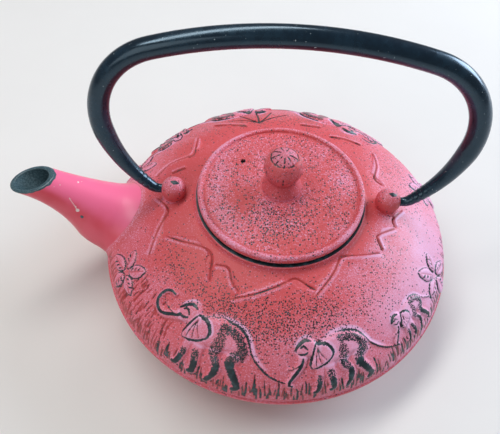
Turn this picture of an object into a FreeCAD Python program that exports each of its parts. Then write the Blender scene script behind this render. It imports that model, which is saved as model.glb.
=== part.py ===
import FreeCAD, Part

import math
import os
import re

import Sketcher
from FreeCAD import Placement, Rotation, Vector

# Cast iron teapot with a swinging bail, a lift-off lid and a lift-out tea infuser.
# Millimetres, +Z up, spout along -X. The origin is the middle of the flat base.

# Driving dimensions: name, value, meaning
SIZES = [
    ("base_radius", 52.0, "flat base the pot stands on"),
    ("base_height", 3.0, "upright edge of the base"),
    ("bowl_radius", 55.0, "curve of the lower bowl"),
    ("wall", 4.0, "thickness of the pot's casting"),
    ("shoulder_radius", 95.2, "pot's axis to the foot of the shoulder"),
    ("rim_reach", 0.9, "how far the parting rim stands out"),
    ("rim_thickness", 2.0, "height of the parting rim"),
    ("rim_level", 28.5, "underside of the parting rim above the table"),
    ("shoulder_bend", 18.0, "curve of the shoulder above the rim"),
    ("shoulder_bend_angle", 45.0, "angle that this curve turns through"),
    ("shoulder_crown", 84.0, "curve of the shoulder up to the collar"),
    ("collar_radius", 44.5, "outside of the mouth's collar"),
    ("collar_top", 69.8, "top of the collar above the table"),
    ("mouth_radius", 36.0, "opening of the mouth"),
    ("ear_distance", 56.0, "pot's axis to the middle of an ear"),
    ("ear_level", 69.0, "bail's axis above the table"),
    ("ear_radius", 6.5, "ball of an ear"),
    ("ear_neck_radius", 5.2, "foot where it enters the ball"),
    ("ear_foot_radius", 7.6, "flared foot under the ball"),
    ("ear_foot_depth", 9.0, "ball's middle down to the end of its foot"),
    ("ear_bore_depth", 9.0, "blind hole for the bail's pin"),
    ("spout_tip_distance", 130.8, "pot's axis to the middle of the spout's mouth"),
    ("spout_tip_level", 70.6, "middle of the spout's mouth above the table"),
    ("spout_tip_slope", 28.5, "rise of the spout at its mouth"),
    ("spout_neck_slope", 46.5, "rise of the spout at its neck, just clear of the pot"),
    ("spout_length", 36.5, "spout's curved middle line, mouth to neck"),
    ("spout_tip_radius", 9.0, "outside of the spout at its mouth"),
    ("spout_neck_radius", 16.3, "outside of the spout at its neck"),
    ("spout_root_distance", 70.0, "pot's axis to the end of the spout inside the pot's wall"),
    ("spout_root_level", 34.0, "that end above the table"),
    ("spout_root_slope", 20.0, "tilt of that end"),
    ("spout_root_radius", 20.0, "outside of the spout at that end"),
    ("spout_wall", 2.1, "thickness of the spout at its mouth"),
    ("spout_root_wall", 6.0, "thickness of the spout at its root"),
    ("spout_lip_slope", 16.0, "fall of the slanting mouth towards its lip"),
    ("spout_gap", 0.05, "room round the spout in the shoulder"),
    ("lid_radius", 43.0, "outside of the lid"),
    ("lid_edge", 3.0, "lid's edge below its bead"),
    ("lid_bead_width", 3.0, "half-round bead round the lid"),
    ("lid_rise", 2.4, "knob's seat above the foot of the bead"),
    ("lid_seat_radius", 11.5, "flat seat under the knob"),
    ("lid_ring_radius", 32.8, "outside of the locating ring"),
    ("lid_ring_width", 2.6, "thickness of the locating ring"),
    ("lid_ring_depth", 5.0, "locating ring below the lid"),
    ("vent_radius", 1.15, "vent hole"),
    ("vent_distance", 26.2, "lid's middle to the vent hole"),
    ("vent_angle", 142.0, "direction of the vent hole from +X"),
    ("knob_foot_radius", 10.3, "foot of the knob"),
    ("knob_foot_edge", 1.2, "upright edge of that foot"),
    ("knob_waist_radius", 7.6, "narrowest part of the knob"),
    ("knob_waist_level", 8.5, "waist above the knob's foot"),
    ("knob_cove", 9.0, "hollow curve from the foot to the waist"),
    ("knob_bud_radius", 9.7, "bud of the knob"),
    ("knob_bud_level", 15.0, "widest part of the bud above the foot"),
    ("knob_bud_curve", 8.0, "curve of the bud's sides"),
    ("knob_cap_radius", 6.4, "edge of the cap on the bud"),
    ("knob_cap_level", 22.0, "edge of the cap above the foot"),
    ("knob_height", 24.6, "top of the knob above its foot"),
    ("screw_radius", 2.0, "shank of the knob's screw"),
    ("screw_grip", 11.0, "length of the shank inside the knob"),
    ("screw_end_gap", 0.4, "shank's end to the end of its hole"),
    ("screw_head_radius", 4.0, "head of the screw"),
    ("screw_head_height", 2.2, "height of the head"),
    ("screw_clearance", 0.1, "room round the shank"),
    ("washer_radius", 6.5, "washer under the screw's head"),
    ("washer_thickness", 1.0, "thickness of the washer"),
    ("infuser_rim_radius", 40.5, "rolled rim that hangs on the collar"),
    ("infuser_rim_thickness", 1.2, "height of the rolled rim"),
    ("infuser_radius", 34.2, "sleeve at the top, outside"),
    ("infuser_foot_radius", 31.5, "sleeve at the bottom, outside"),
    ("infuser_depth", 42.0, "sleeve below the rim"),
    ("infuser_skirt", 7.0, "plain band of the rim outside the sleeve"),
    ("infuser_ring_height", 4.0, "crimped ring up the sleeve"),
    ("infuser_ring_lip", 3.0, "crimped ring under the base"),
    ("sheet", 0.5, "thickness of the infuser's steel sheet"),
    ("sheet_gap", 0.05, "room between the infuser's pieces"),
    ("perforation", 1.1, "radius of a hole in the infuser"),
    ("wall_columns", 20, "holes round the sleeve"),
    ("wall_rows", 4, "rows of holes up the sleeve"),
    ("wall_row_pitch", 6.4, "one row of holes to the next"),
    ("base_ring_pitch", 8.0, "one ring of holes in the base to the next"),
    ("base_rings", 3, "rings of holes in the base"),
    ("base_ring_holes", 6, "holes in the first ring, and more in each further one"),
    ("bail_pin_radius", 2.3, "pin in the ear"),
    ("bail_pin_clearance", 0.06, "running clearance of the pin"),
    ("bail_end_gap", 0.4, "ball to the start of the bail's bend, and pin to the end of its hole"),
    ("bail_end_bend", 6.5, "bend from the pin into the arm"),
    ("bail_arm_start", 42.0, "rise of the arm at its lower end"),
    ("bail_arm_end", 75.0, "rise of the arm at its upper end"),
    ("bail_half_width", 88.0, "widest part of the bail, pot's axis to the tube's middle"),
    ("bail_bend", 37.0, "bend from the arm into the grip"),
    ("bail_grip_start", 164.5, "direction of the grip at its end, level is 180"),
    ("bail_radius", 5.0, "tube of the grip"),
    ("bail_foot_radius", 2.8, "tube at its thin end"),
    ("bail_wall", 1.2, "thickness of the tube"),
    ("bail_plug_length", 9.0, "end piece inside the tube"),
    ("bail_lean", 10.6, "bail at rest, leaning back from upright"),
]
NAMES = {name for name, value, meaning in SIZES}

doc = FreeCAD.newDocument("Teapot")
sheet = doc.addObject("Spreadsheet::Sheet", "Sizes")
for row, (name, value, meaning) in enumerate(SIZES, start=1):
    sheet.set(f"A{row}", meaning)
    sheet.set(f"B{row}", str(value))
    sheet.setAlias(f"B{row}", name)
doc.recompute()


def formula(text):
    """A formula of size names, as the sheet's cells."""
    return re.sub(r"[a-z_]+", lambda m: f"Sizes.{m[0]}" if m[0] in NAMES else m[0], text)


def size(text):
    """The number that a formula of size names gives."""
    return float(sheet.evalExpression(formula(text)))


def bind(piece, **formulas):
    """Tie properties of a piece to the sheet; a double underscore stands for a dot."""
    for path, text in formulas.items():
        piece.setExpression(path.replace("__", "."), formula(text))


def new_body(name):
    body = doc.addObject("PartDesign::Body", name)
    body.Label = name
    return body


def origin_part(body, role):
    return next(part for part in body.Origin.OriginFeatures if part.Role == role)


def new_sketch(body, name, plane):
    sketch = body.newObject("Sketcher::SketchObject", name)
    sketch.AttachmentSupport = (origin_part(body, plane), [""])
    sketch.MapMode = "FlatFace"
    return sketch


def arc_between(start, end, radius, side):
    """Arc from start to end; side is 1 with its centre on the left of that way, -1 on the right."""
    chord = end - start
    half = chord.Length / 2
    left = Vector(-chord.y, chord.x, 0).normalize()
    # A half circle may come out a rounding error below zero here
    rise = math.sqrt(max(radius ** 2 - half ** 2, 0))
    centre = (start + end) * 0.5 + left * side * rise
    first, last = (start, end) if side > 0 else (end, start)
    angles = [math.atan2(p.y - centre.y, p.x - centre.x) for p in (first, last)]
    return Part.ArcOfCircle(Part.Circle(centre, Vector(0, 0, 1), radius), *angles)


def pin_point(sketch, line, end, across, up):
    """Hold one end of a line of a sketch at the two formulas."""
    for kind, axis, text in (("DistanceX", -2, across), ("DistanceY", -1, up)):
        if abs(size(text)) < 1e-9:
            sketch.addConstraint(Sketcher.Constraint("PointOnObject", line, end, axis))
        else:
            index = sketch.addConstraint(Sketcher.Constraint(kind, -1, 1, line, end, size(text)))
            sketch.setExpression(f"Constraints[{index}]", formula(text))


def outline(body, name, plane, corners):
    """Closed outline through corners (across, up), each with the arc (radius, side) that leaves it, if any."""
    sketch = new_sketch(body, name, plane)
    points = [Vector(size(corner[0]), size(corner[1]), 0) for corner in corners]
    starts = []
    ends = []
    for index, corner in enumerate(corners):
        start, end = points[index], points[(index + 1) % len(points)]
        if len(corner) == 2:
            sketch.addGeometry(Part.LineSegment(start, end))
            starts.append(1)
            ends.append(2)
            continue
        radius, side = corner[2:]
        sketch.addGeometry(arc_between(start, end, size(radius), side))
        starts.append(1 if side > 0 else 2)
        ends.append(2 if side > 0 else 1)
        limit = sketch.addConstraint(Sketcher.Constraint("Radius", index, size(radius)))
        sketch.setExpression(f"Constraints[{limit}]", formula(radius))
    for index, corner in enumerate(corners):
        pin_point(sketch, index, starts[index], corner[0], corner[1])
        before = index - 1 if index else len(corners) - 1
        sketch.addConstraint(Sketcher.Constraint("Coincident", before, ends[before], index, starts[index]))
    return sketch


def turn(body, name, corners, kind="Revolution"):
    """Turned solid, or turned cut, of an outline in the XZ plane about the pot's axis."""
    feature = body.newObject(f"PartDesign::{kind}", name)
    feature.Profile = outline(body, f"{name}_outline", "XZ_Plane", corners)
    feature.ReferenceAxis = (origin_part(body, "Z_Axis"), [""])
    feature.Angle = 360
    doc.recompute()
    return feature


def circle(sketch, radius, across="0", up="0"):
    """Circle in a sketch, its middle at the two formulas."""
    middle = Vector(size(across), size(up), 0)
    index = sketch.addGeometry(Part.Circle(middle, Vector(0, 0, 1), size(radius)))
    pin_point(sketch, index, 3, across, up)
    limit = sketch.addConstraint(Sketcher.Constraint("Radius", index, size(radius)))
    sketch.setExpression(f"Constraints[{limit}]", formula(radius))
    return index


def block(body, kind, name, rotation=Rotation(), **formulas):
    """Primitive added to a body or cut from it, such as AdditiveSphere."""
    feature = body.newObject(f"PartDesign::{kind}", name)
    feature.Placement = Placement(Vector(), rotation)
    bind(feature, **formulas)
    doc.recompute()
    return feature


def must_cut(body, before, feature):
    """A cut that removes nothing is an error."""
    doc.recompute()
    if not feature.Shape.Volume < before - 0.01:
        raise RuntimeError(f"{feature.Label} cuts nothing from {body.Label}")


# Pot: lower bowl up to the parting rim, and the shoulder with its collar and ears on top of it

SHOULDER_FOOT = "(rim_level + rim_thickness)"
BEND_MIDDLE = "(shoulder_radius - shoulder_bend)"
BEND_END = (
    f"({BEND_MIDDLE} + shoulder_bend * cos(shoulder_bend_angle))",
    f"({SHOULDER_FOOT} + shoulder_bend * sin(shoulder_bend_angle))",
)
CROWN_MIDDLE = (
    f"({BEND_END[0]} - shoulder_crown * cos(shoulder_bend_angle))",
    f"({BEND_END[1]} - shoulder_crown * sin(shoulder_bend_angle))",
)


def crown_level(radius, inset="0"):
    """Height of the shoulder's crown, or of a face under it, at a distance from the axis."""
    return f"({CROWN_MIDDLE[1]} + sqrt((shoulder_crown - {inset})^2 - ({radius} - {CROWN_MIDDLE[0]})^2))"


def make_bowl():
    """Dish of even wall with a flat base, its top edge the parting rim."""
    body = new_body("pot_bowl")
    low = Vector(size("base_radius"), size("base_height"), 0)
    high = Vector(size("shoulder_radius"), size("rim_level"), 0)
    middle = arc_between(low, high, size("bowl_radius"), 1).Center
    inner = size("bowl_radius - wall")
    floor = str(middle.y - inner)
    girth = str(middle.x + math.sqrt(inner ** 2 - (middle.y - high.y) ** 2))
    turn(body, "dish", [
        ("0", "0"),
        ("base_radius", "0"),
        ("base_radius", "base_height", "bowl_radius", 1),
        ("shoulder_radius", "rim_level"),
        ("shoulder_radius + rim_reach", "rim_level"),
        ("shoulder_radius + rim_reach", SHOULDER_FOOT),
        ("shoulder_radius - wall", SHOULDER_FOOT),
        (girth, "rim_level", "bowl_radius - wall", -1),
        (str(middle.x), floor),
        ("0", floor),
    ])
    return body


def shoulder_inside():
    """Outline of the hollow under the shoulder, a wall's thickness inside it, and of the mouth."""
    bend_end = [f"{end} - wall * {way}(shoulder_bend_angle)" for end, way in zip(BEND_END, ("cos", "sin"))]
    return [
        ("shoulder_radius - wall", SHOULDER_FOOT, "shoulder_bend - wall", 1),
        (*bend_end, "shoulder_crown - wall", 1),
        ("mouth_radius", crown_level("mouth_radius", "wall")),
        ("mouth_radius", "collar_top"),
        ("0", "collar_top"),
    ]


# Spout: round sections along a middle line that bends evenly from its mouth down to the pot

SPOUT_RUN_OUT = -0.35
SPOUT_SECTIONS = (SPOUT_RUN_OUT, 0.0, 0.5, 1.0)


def spout_slope(share):
    return f"(spout_tip_slope + (spout_neck_slope - spout_tip_slope) * {share})"


def spout_point(share):
    """Distance from the axis and height of the spout's middle line, share 0 at its mouth, 1 at its neck."""
    bend = "(spout_length / ((spout_neck_slope - spout_tip_slope) * pi / 180))"
    back = f"{bend} * (sin{spout_slope(share)} - sin(spout_tip_slope))"
    down = f"{bend} * (cos(spout_tip_slope) - cos{spout_slope(share)})"
    return f"(spout_tip_distance - {back})", f"(spout_tip_level - {down})"


def spout_section(body, name, distance, level, slope, radius):
    """Circle across the spout's middle line, tilted by its slope."""
    sketch = new_sketch(body, name, "YZ_Plane")
    sketch.AttachmentOffset = Placement(Vector(), Rotation(Vector(1, 0, 0), size(slope)))
    bind(
        sketch,
        AttachmentOffset__Base__y=level,
        AttachmentOffset__Base__z=f"-{distance}",
        AttachmentOffset__Rotation__Angle=slope,
    )
    circle(sketch, radius)
    return sketch


def spout_loft(body, kind, name, tip_radius, neck_radius, root_radius):
    """Smooth run through the sections from beyond the mouth to the root inside the pot's wall."""
    sections = []
    for index, share in enumerate(SPOUT_SECTIONS):
        flare = max(share, 0) ** 2
        radius = f"{tip_radius} + ({neck_radius} - ({tip_radius})) * {flare}"
        slope = spout_slope(share)
        sections.append(spout_section(body, f"{name}_section_{index}", *spout_point(share), slope, radius))
    root = ("spout_root_distance", "spout_root_level", "spout_root_slope", root_radius)
    sections.append(spout_section(body, f"{name}_root", *root))
    feature = body.newObject(f"PartDesign::{kind}", name)
    feature.Profile = sections[0]
    feature.Sections = [(sketch, [""]) for sketch in sections[1:]]
    doc.recompute()
    return feature


def spout_mouth(body):
    """Slanting cut across the spout's run-out, which leaves its lip."""
    before = body.Shape.Volume
    reach = "spout_length"
    ways = {"along": "cos(spout_lip_slope)", "fall": "sin(spout_lip_slope)"}
    corners = []
    for along, above in ((-1, 0), (1, 0), (1, 1), (-1, 1)):
        corners.append((
            f"-spout_tip_distance + {reach} * ({along} * {ways['along']} - {above} * {ways['fall']})",
            f"spout_tip_level + {reach} * ({along} * {ways['fall']} + {above} * {ways['along']})",
        ))
    sketch = outline(body, "mouth_outline", "XZ_Plane", corners)
    cut = body.newObject("PartDesign::Pocket", "spout_mouth")
    cut.Profile = sketch
    cut.SideType = "Symmetric"
    cut.Type = "Length"
    bind(cut, Length="4 * spout_root_radius")
    must_cut(body, before, cut)


def make_spout():
    """Spout with its channel, trimmed to end flush with the inside of the shoulder and on the parting rim."""
    body = new_body("spout")
    spout_loft(body, "AdditiveLoft", "tube", "spout_tip_radius", "spout_neck_radius", "spout_root_radius")
    spout_mouth(body)
    before = body.Shape.Volume
    trim = turn(body, "root_trim", [
        ("0", "0"),
        ("spout_tip_distance", "0"),
        ("spout_tip_distance", SHOULDER_FOOT),
        *shoulder_inside(),
    ], kind="Groove")
    must_cut(body, before, trim)
    before = body.Shape.Volume
    channel = spout_loft(
        body, "SubtractiveLoft", "channel",
        "spout_tip_radius - spout_wall",
        "spout_neck_radius - (spout_wall + spout_root_wall) / 2",
        "spout_root_radius - spout_root_wall",
    )
    must_cut(body, before, channel)
    return body


# Shoulder: turned dome with two ball ears and a hole for the spout

def ears(body):
    for name, side in (("left", -1), ("right", 1)):
        place = {"Placement__Base__x": f"{side} * ear_distance"}
        block(body, "AdditiveSphere", f"{name}_ball", Radius="ear_radius", Placement__Base__z="ear_level", **place)
        block(
            body, "AdditiveCone", f"{name}_foot",
            Radius1="ear_foot_radius", Radius2="ear_neck_radius", Height="ear_foot_depth",
            Placement__Base__z="ear_level - ear_foot_depth", **place,
        )


def ear_bores(body):
    """Blind holes for the bail's pins, bored from the outside of each ball."""
    for name, side in (("left", -1), ("right", 1)):
        before = body.Shape.Volume
        bore = block(
            body, "SubtractiveCylinder", f"{name}_bore",
            rotation=Rotation(Vector(0, 1, 0), 90 * side),
            Radius="bail_pin_radius + bail_pin_clearance", Height="ear_bore_depth + ear_radius",
            Placement__Base__x=f"{side} * (ear_distance + ear_radius - ear_bore_depth)",
            Placement__Base__z="ear_level",
        )
        must_cut(body, before, bore)


def make_shoulder():
    body = new_body("pot_shoulder")
    turn(body, "dome", [
        ("0", SHOULDER_FOOT),
        ("shoulder_radius", SHOULDER_FOOT, "shoulder_bend", 1),
        (*BEND_END, "shoulder_crown", 1),
        ("collar_radius", crown_level("collar_radius")),
        ("collar_radius", "collar_top"),
        ("0", "collar_top"),
    ])
    ears(body)
    before = body.Shape.Volume
    must_cut(body, before, turn(body, "hollow", [("0", SHOULDER_FOOT), *shoulder_inside()], kind="Groove"))
    before = body.Shape.Volume
    hole = spout_loft(
        body, "SubtractiveLoft", "spout_hole",
        "spout_tip_radius + spout_gap", "spout_neck_radius + spout_gap", "spout_root_radius + spout_gap",
    )
    must_cut(body, before, hole)
    ear_bores(body)
    return body


# Curve of a rounded edge as a share of its thickness, a little flatter than half round
EDGE_ROUND = 0.53


# Lid: it rests on the infuser's rolled rim

LID_UNDER = "(collar_top + infuser_rim_thickness)"
LID_BEAD_FOOT = f"({LID_UNDER} + lid_edge)"
KNOB_SEAT = f"({LID_BEAD_FOOT} + lid_rise)"
LID_SLOPE = "(lid_radius - lid_bead_width - lid_seat_radius)"


def make_lid():
    body = new_body("lid")
    turn(body, "disc", [
        ("0", LID_UNDER),
        ("lid_ring_radius - lid_ring_width", LID_UNDER),
        ("lid_ring_radius - lid_ring_width", f"{LID_UNDER} - lid_ring_depth"),
        ("lid_ring_radius", f"{LID_UNDER} - lid_ring_depth"),
        ("lid_ring_radius", LID_UNDER),
        ("lid_radius", LID_UNDER),
        ("lid_radius", LID_BEAD_FOOT, f"lid_bead_width * {EDGE_ROUND}", 1),
        ("lid_radius - lid_bead_width", LID_BEAD_FOOT, f"({LID_SLOPE}^2 + lid_rise^2) / (2 * lid_rise)", 1),
        ("lid_seat_radius", KNOB_SEAT),
        ("0", KNOB_SEAT),
    ])
    cuts = {
        "vent": ("vent_radius", "vent_distance * cos(vent_angle)", "vent_distance * sin(vent_angle)"),
        "screw_hole": ("screw_radius + screw_clearance", "0", "0"),
    }
    for name, (radius, across, along) in cuts.items():
        before = body.Shape.Volume
        hole = block(
            body, "SubtractiveCylinder", name, Radius=radius, Height=KNOB_SEAT,
            Placement__Base__x=across, Placement__Base__y=along,
        )
        must_cut(body, before, hole)
    return body


def make_knob():
    """Flared foot, bud and cap, turned in one piece, with a blind hole for its screw."""
    body = new_body("lid_knob")
    cap = "(knob_height - knob_cap_level)"
    turn(body, "bud", [
        ("0", KNOB_SEAT),
        ("knob_foot_radius", KNOB_SEAT),
        ("knob_foot_radius", f"{KNOB_SEAT} + knob_foot_edge", "knob_cove", -1),
        ("knob_waist_radius", f"{KNOB_SEAT} + knob_waist_level", "knob_bud_curve", 1),
        ("knob_bud_radius", f"{KNOB_SEAT} + knob_bud_level", "knob_bud_curve", 1),
        ("knob_cap_radius", f"{KNOB_SEAT} + knob_cap_level", f"(knob_cap_radius^2 + {cap}^2) / (2 * {cap})", 1),
        ("0", f"{KNOB_SEAT} + knob_height"),
    ])
    before = body.Shape.Volume
    hole = block(
        body, "SubtractiveCylinder", "screw_hole", Radius="screw_radius + screw_clearance",
        Height="screw_grip + screw_end_gap", Placement__Base__z=KNOB_SEAT,
    )
    must_cut(body, before, hole)
    return body


def make_screw():
    body = new_body("knob_screw")
    under_washer = f"({LID_UNDER} - washer_thickness)"
    turn(body, "screw", [
        ("0", f"{under_washer} - screw_head_height"),
        ("screw_head_radius", f"{under_washer} - screw_head_height / 2"),
        ("screw_head_radius", under_washer),
        ("screw_radius", under_washer),
        ("screw_radius", f"{KNOB_SEAT} + screw_grip"),
        ("0", f"{KNOB_SEAT} + screw_grip"),
    ])
    return body


def make_washer():
    body = new_body("knob_washer")
    turn(body, "washer", [
        ("screw_radius + screw_clearance", f"{LID_UNDER} - washer_thickness"),
        ("washer_radius", f"{LID_UNDER} - washer_thickness"),
        ("washer_radius", LID_UNDER),
        ("screw_radius + screw_clearance", LID_UNDER),
    ])
    return body


# Infuser: rim, perforated sleeve, perforated base and the ring that joins them

SLEEVE_FOOT = "(collar_top - infuser_depth)"


def round_sleeve(above):
    """Radius that clears the outside of the tapered sleeve at a height above its foot."""
    return f"(infuser_foot_radius + (infuser_radius - infuser_foot_radius) * ({above}) / infuser_depth + sheet_gap)"


def make_infuser_rim():
    body = new_body("infuser_rim")
    skirt = round_sleeve("infuser_depth - infuser_skirt")
    inside = round_sleeve("infuser_depth")
    turn(body, "rim", [
        (skirt, "collar_top - infuser_skirt"),
        (f"{skirt} + sheet", "collar_top - infuser_skirt"),
        (f"{inside} + sheet", "collar_top"),
        ("infuser_rim_radius - infuser_rim_thickness / 2", "collar_top", f"infuser_rim_thickness * {EDGE_ROUND}", 1),
        ("infuser_rim_radius - infuser_rim_thickness / 2", LID_UNDER),
        (inside, LID_UNDER),
        (inside, "collar_top"),
    ])
    return body


def make_infuser_wall():
    body = new_body("infuser_wall")
    turn(body, "sleeve", [
        ("infuser_foot_radius - sheet", SLEEVE_FOOT),
        ("infuser_foot_radius", SLEEVE_FOOT),
        ("infuser_radius", "collar_top"),
        ("infuser_radius - sheet", "collar_top"),
    ])
    before = body.Shape.Volume
    sketch = new_sketch(body, "column", "XZ_Plane")
    bind(sketch, AttachmentOffset__Base__z="(infuser_radius + infuser_foot_radius - sheet) / 2")
    lowest = f"{SLEEVE_FOOT} + infuser_ring_height + wall_row_pitch"
    for index in range(int(size("wall_rows"))):
        circle(sketch, "perforation", "0", f"{lowest} + {index} * wall_row_pitch")
    cut = body.newObject("PartDesign::Pocket", "column_holes")
    cut.Profile = sketch
    cut.SideType = "Symmetric"
    cut.Type = "Length"
    cut.Refine = False
    bind(cut, Length="infuser_radius - infuser_foot_radius + 4 * sheet")
    must_cut(body, before, cut)
    pattern = body.newObject("PartDesign::PolarPattern", "columns")
    pattern.Originals = [cut]
    pattern.Axis = (origin_part(body, "Z_Axis"), [""])
    pattern.Angle = 360
    pattern.Refine = False
    bind(pattern, Occurrences="wall_columns")
    body.Tip = pattern
    return body


def make_infuser_base():
    body = new_body("infuser_base")
    turn(body, "disc", [
        ("0", SLEEVE_FOOT),
        ("infuser_foot_radius - sheet - sheet_gap", SLEEVE_FOOT),
        ("infuser_foot_radius - sheet - sheet_gap", f"{SLEEVE_FOOT} + sheet"),
        ("0", f"{SLEEVE_FOOT} + sheet"),
    ])
    for index in range(1, int(size("base_rings")) + 1):
        before = body.Shape.Volume
        hole = block(
            body, "SubtractiveCylinder", f"hole_{index}", Radius="perforation", Height="collar_top",
            Placement__Base__x=f"{index} * base_ring_pitch",
        )
        must_cut(body, before, hole)
        ring = body.newObject("PartDesign::PolarPattern", f"ring_{index}")
        ring.Originals = [hole]
        ring.Axis = (origin_part(body, "Z_Axis"), [""])
        ring.Angle = 360
        bind(ring, Occurrences=f"{index} * base_ring_holes")
        doc.recompute()
        body.Tip = ring
    return body


def make_infuser_base_ring():
    body = new_body("infuser_base_ring")
    inside = round_sleeve("infuser_ring_height")
    foot = round_sleeve("0")
    turn(body, "ring", [
        ("infuser_foot_radius - infuser_ring_lip", f"{SLEEVE_FOOT} - sheet"),
        (f"{foot} + sheet", f"{SLEEVE_FOOT} - sheet"),
        (f"{inside} + sheet", f"{SLEEVE_FOOT} + infuser_ring_height"),
        (inside, f"{SLEEVE_FOOT} + infuser_ring_height"),
        (foot, SLEEVE_FOOT),
        ("infuser_foot_radius - infuser_ring_lip", SLEEVE_FOOT),
    ])
    return body


# Bail: a tube that tapers down its two arms, with a bent solid piece in each end.
# It is drawn upright about its pivot line and then leaned back.

def run_on(point, heading, radius, turn_to):
    """Arc that leaves a point at one heading and turns left to another; gives the arc and its far end."""
    def at(angle):
        return point + Vector(
            radius * (math.sin(math.radians(angle)) - math.sin(math.radians(heading))),
            0,
            radius * (math.cos(math.radians(heading)) - math.cos(math.radians(angle))),
        )
    end = at(turn_to)
    return Part.Arc(point, at((heading + turn_to) / 2), end).toShape(), end


def bail_half():
    """Right half of the bail's middle line: the end's bend, the arm, the corner and half the grip."""
    start = Vector(size("ear_distance + ear_radius + bail_end_gap"), 0, 0)
    low, high, level = size("bail_arm_start"), size("bail_arm_end"), size("bail_grip_start")
    bend, arm_end = run_on(start, 0, size("bail_end_bend"), low)
    corner_out = size("bail_bend") * (1 - math.sin(math.radians(high)))
    spread = math.sin(math.radians(high)) - math.sin(math.radians(low))
    arm_radius = (size("bail_half_width") - corner_out - arm_end.x) / spread
    arm, arm_top = run_on(arm_end, low, arm_radius, high)
    corner, corner_end = run_on(arm_top, high, size("bail_bend"), level)
    grip_radius = corner_end.x / math.sin(math.radians(level))
    plug_turn = math.degrees(size("bail_plug_length") / arm_radius)
    return {
        "bend": bend,
        "arm": arm,
        "corner": corner,
        "grip": run_on(corner_end, level, grip_radius, 180)[0],
        "plug": run_on(arm_end, low, arm_radius, low + plug_turn)[0],
    }


def round_bar(edge, start_radius, end_radius):
    """Solid round bar along one curved edge, its radius running evenly from end to end."""
    rings = []
    for place, radius in ((edge.FirstParameter, start_radius), (edge.LastParameter, end_radius)):
        rings.append(Part.Wire(Part.makeCircle(radius, edge.valueAt(place), edge.tangentAt(place))))
    sweep = Part.BRepOffsetAPI.MakePipeShell(Part.Wire(edge))
    for ring in rings:
        sweep.add(ring)
    sweep.build()
    sweep.makeSolid()
    return sweep.shape()


def mirrored(shape):
    return shape.mirror(Vector(), Vector(1, 0, 0))


def tube_solid(half, inset):
    """Whole bail tube with its surface a distance inside the outer one."""
    foot, grip = size("bail_foot_radius") - inset, size("bail_radius") - inset
    side = [
        round_bar(half["arm"], foot, grip),
        round_bar(half["corner"], grip, grip),
        round_bar(half["grip"], grip, grip),
    ]
    return side[0].multiFuse(side[1:] + [mirrored(bar) for bar in side]).removeSplitter()


def end_solid(half):
    """Right end piece: pin in the ear, bend, and a thin plug inside the tube."""
    pin_length = size("ear_bore_depth")
    start = Vector(size("ear_distance + ear_radius + bail_end_gap"), 0, 0)
    pin = Part.makeCylinder(size("bail_pin_radius"), pin_length, start, Vector(-1, 0, 0))
    bend = round_bar(half["bend"], size("bail_pin_radius"), size("bail_foot_radius"))
    plug_radius = size("bail_foot_radius - bail_wall - sheet_gap")
    plug = round_bar(half["plug"], plug_radius, plug_radius)
    return pin.multiFuse([bend, plug]).removeSplitter()


def leaned(name, shape):
    piece = doc.addObject("Part::Feature", name)
    piece.Label = name
    piece.Shape = shape
    lean = Rotation(Vector(1, 0, 0), -size("bail_lean"))
    piece.Placement = Placement(Vector(0, 0, size("ear_level")), lean)
    return piece


def make_bail():
    half = bail_half()
    tube = tube_solid(half, 0).cut(tube_solid(half, size("bail_wall")))
    end = end_solid(half)
    return [
        leaned("bail_tube", tube),
        leaned("bail_end_left", mirrored(end)),
        leaned("bail_end_right", end),
    ]


pieces = [
    make_bowl(),
    make_shoulder(),
    make_spout(),
    make_lid(),
    make_knob(),
    make_screw(),
    make_washer(),
    make_infuser_rim(),
    make_infuser_wall(),
    make_infuser_base(),
    make_infuser_base_ring(),
    *make_bail(),
]
doc.recompute()

for thing in doc.Objects:
    if {"Invalid", "Error"} & set(thing.State):
        raise RuntimeError(f"{thing.Label} failed: {thing.State}")
for piece in pieces:
    if piece.Shape.isNull() or not piece.Shape.isValid():
        raise RuntimeError(f"{piece.Label} has no valid shape")

os.makedirs("parts", exist_ok=True)
for piece in pieces:
    piece.Shape.exportStep(f"parts/{piece.Label}.step")
    print(f"{piece.Label}: {len(piece.Shape.Solids)} solid, {piece.Shape.Volume / 1000:.2f} cm3")
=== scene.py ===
import math

import bmesh
import bpy
import numpy as np
from mathutils import Matrix, Vector, noise


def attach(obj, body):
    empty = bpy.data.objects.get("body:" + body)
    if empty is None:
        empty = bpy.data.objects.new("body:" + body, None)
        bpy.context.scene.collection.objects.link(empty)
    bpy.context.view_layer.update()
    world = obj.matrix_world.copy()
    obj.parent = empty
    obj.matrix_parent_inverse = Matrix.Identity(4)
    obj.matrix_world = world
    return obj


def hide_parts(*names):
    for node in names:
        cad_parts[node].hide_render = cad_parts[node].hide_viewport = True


# Looks of a cast iron teapot: relief casting in worn red paint, black enamelled bail, steel infuser.
# Shapes are worked out in millimetres in the part's own frame and written as metres.

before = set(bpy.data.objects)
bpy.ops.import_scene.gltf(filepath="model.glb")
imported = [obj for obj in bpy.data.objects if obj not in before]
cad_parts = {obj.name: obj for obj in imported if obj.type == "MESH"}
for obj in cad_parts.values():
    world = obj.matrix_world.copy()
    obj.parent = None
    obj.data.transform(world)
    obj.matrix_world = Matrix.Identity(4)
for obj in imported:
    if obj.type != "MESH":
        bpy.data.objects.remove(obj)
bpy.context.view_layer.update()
MM = 0.001


# Small helpers for numbers

def rise(low, high, value):
    """0 at low and before it, 1 at high and past it, smooth between; low may be the greater one."""
    share = np.clip((value - low) / (high - low), 0, 1)
    return share * share * (3 - 2 * share)


def ease(share, start, end, start_slope, end_slope):
    """Cubic run between two values that leaves and arrives at given slopes."""
    rest = 1 - share
    bends = start_slope * share * rest ** 2 - end_slope * share ** 2 * rest
    return start * rest ** 2 * (1 + 2 * share) + end * share ** 2 * (3 - 2 * share) + bends


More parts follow.
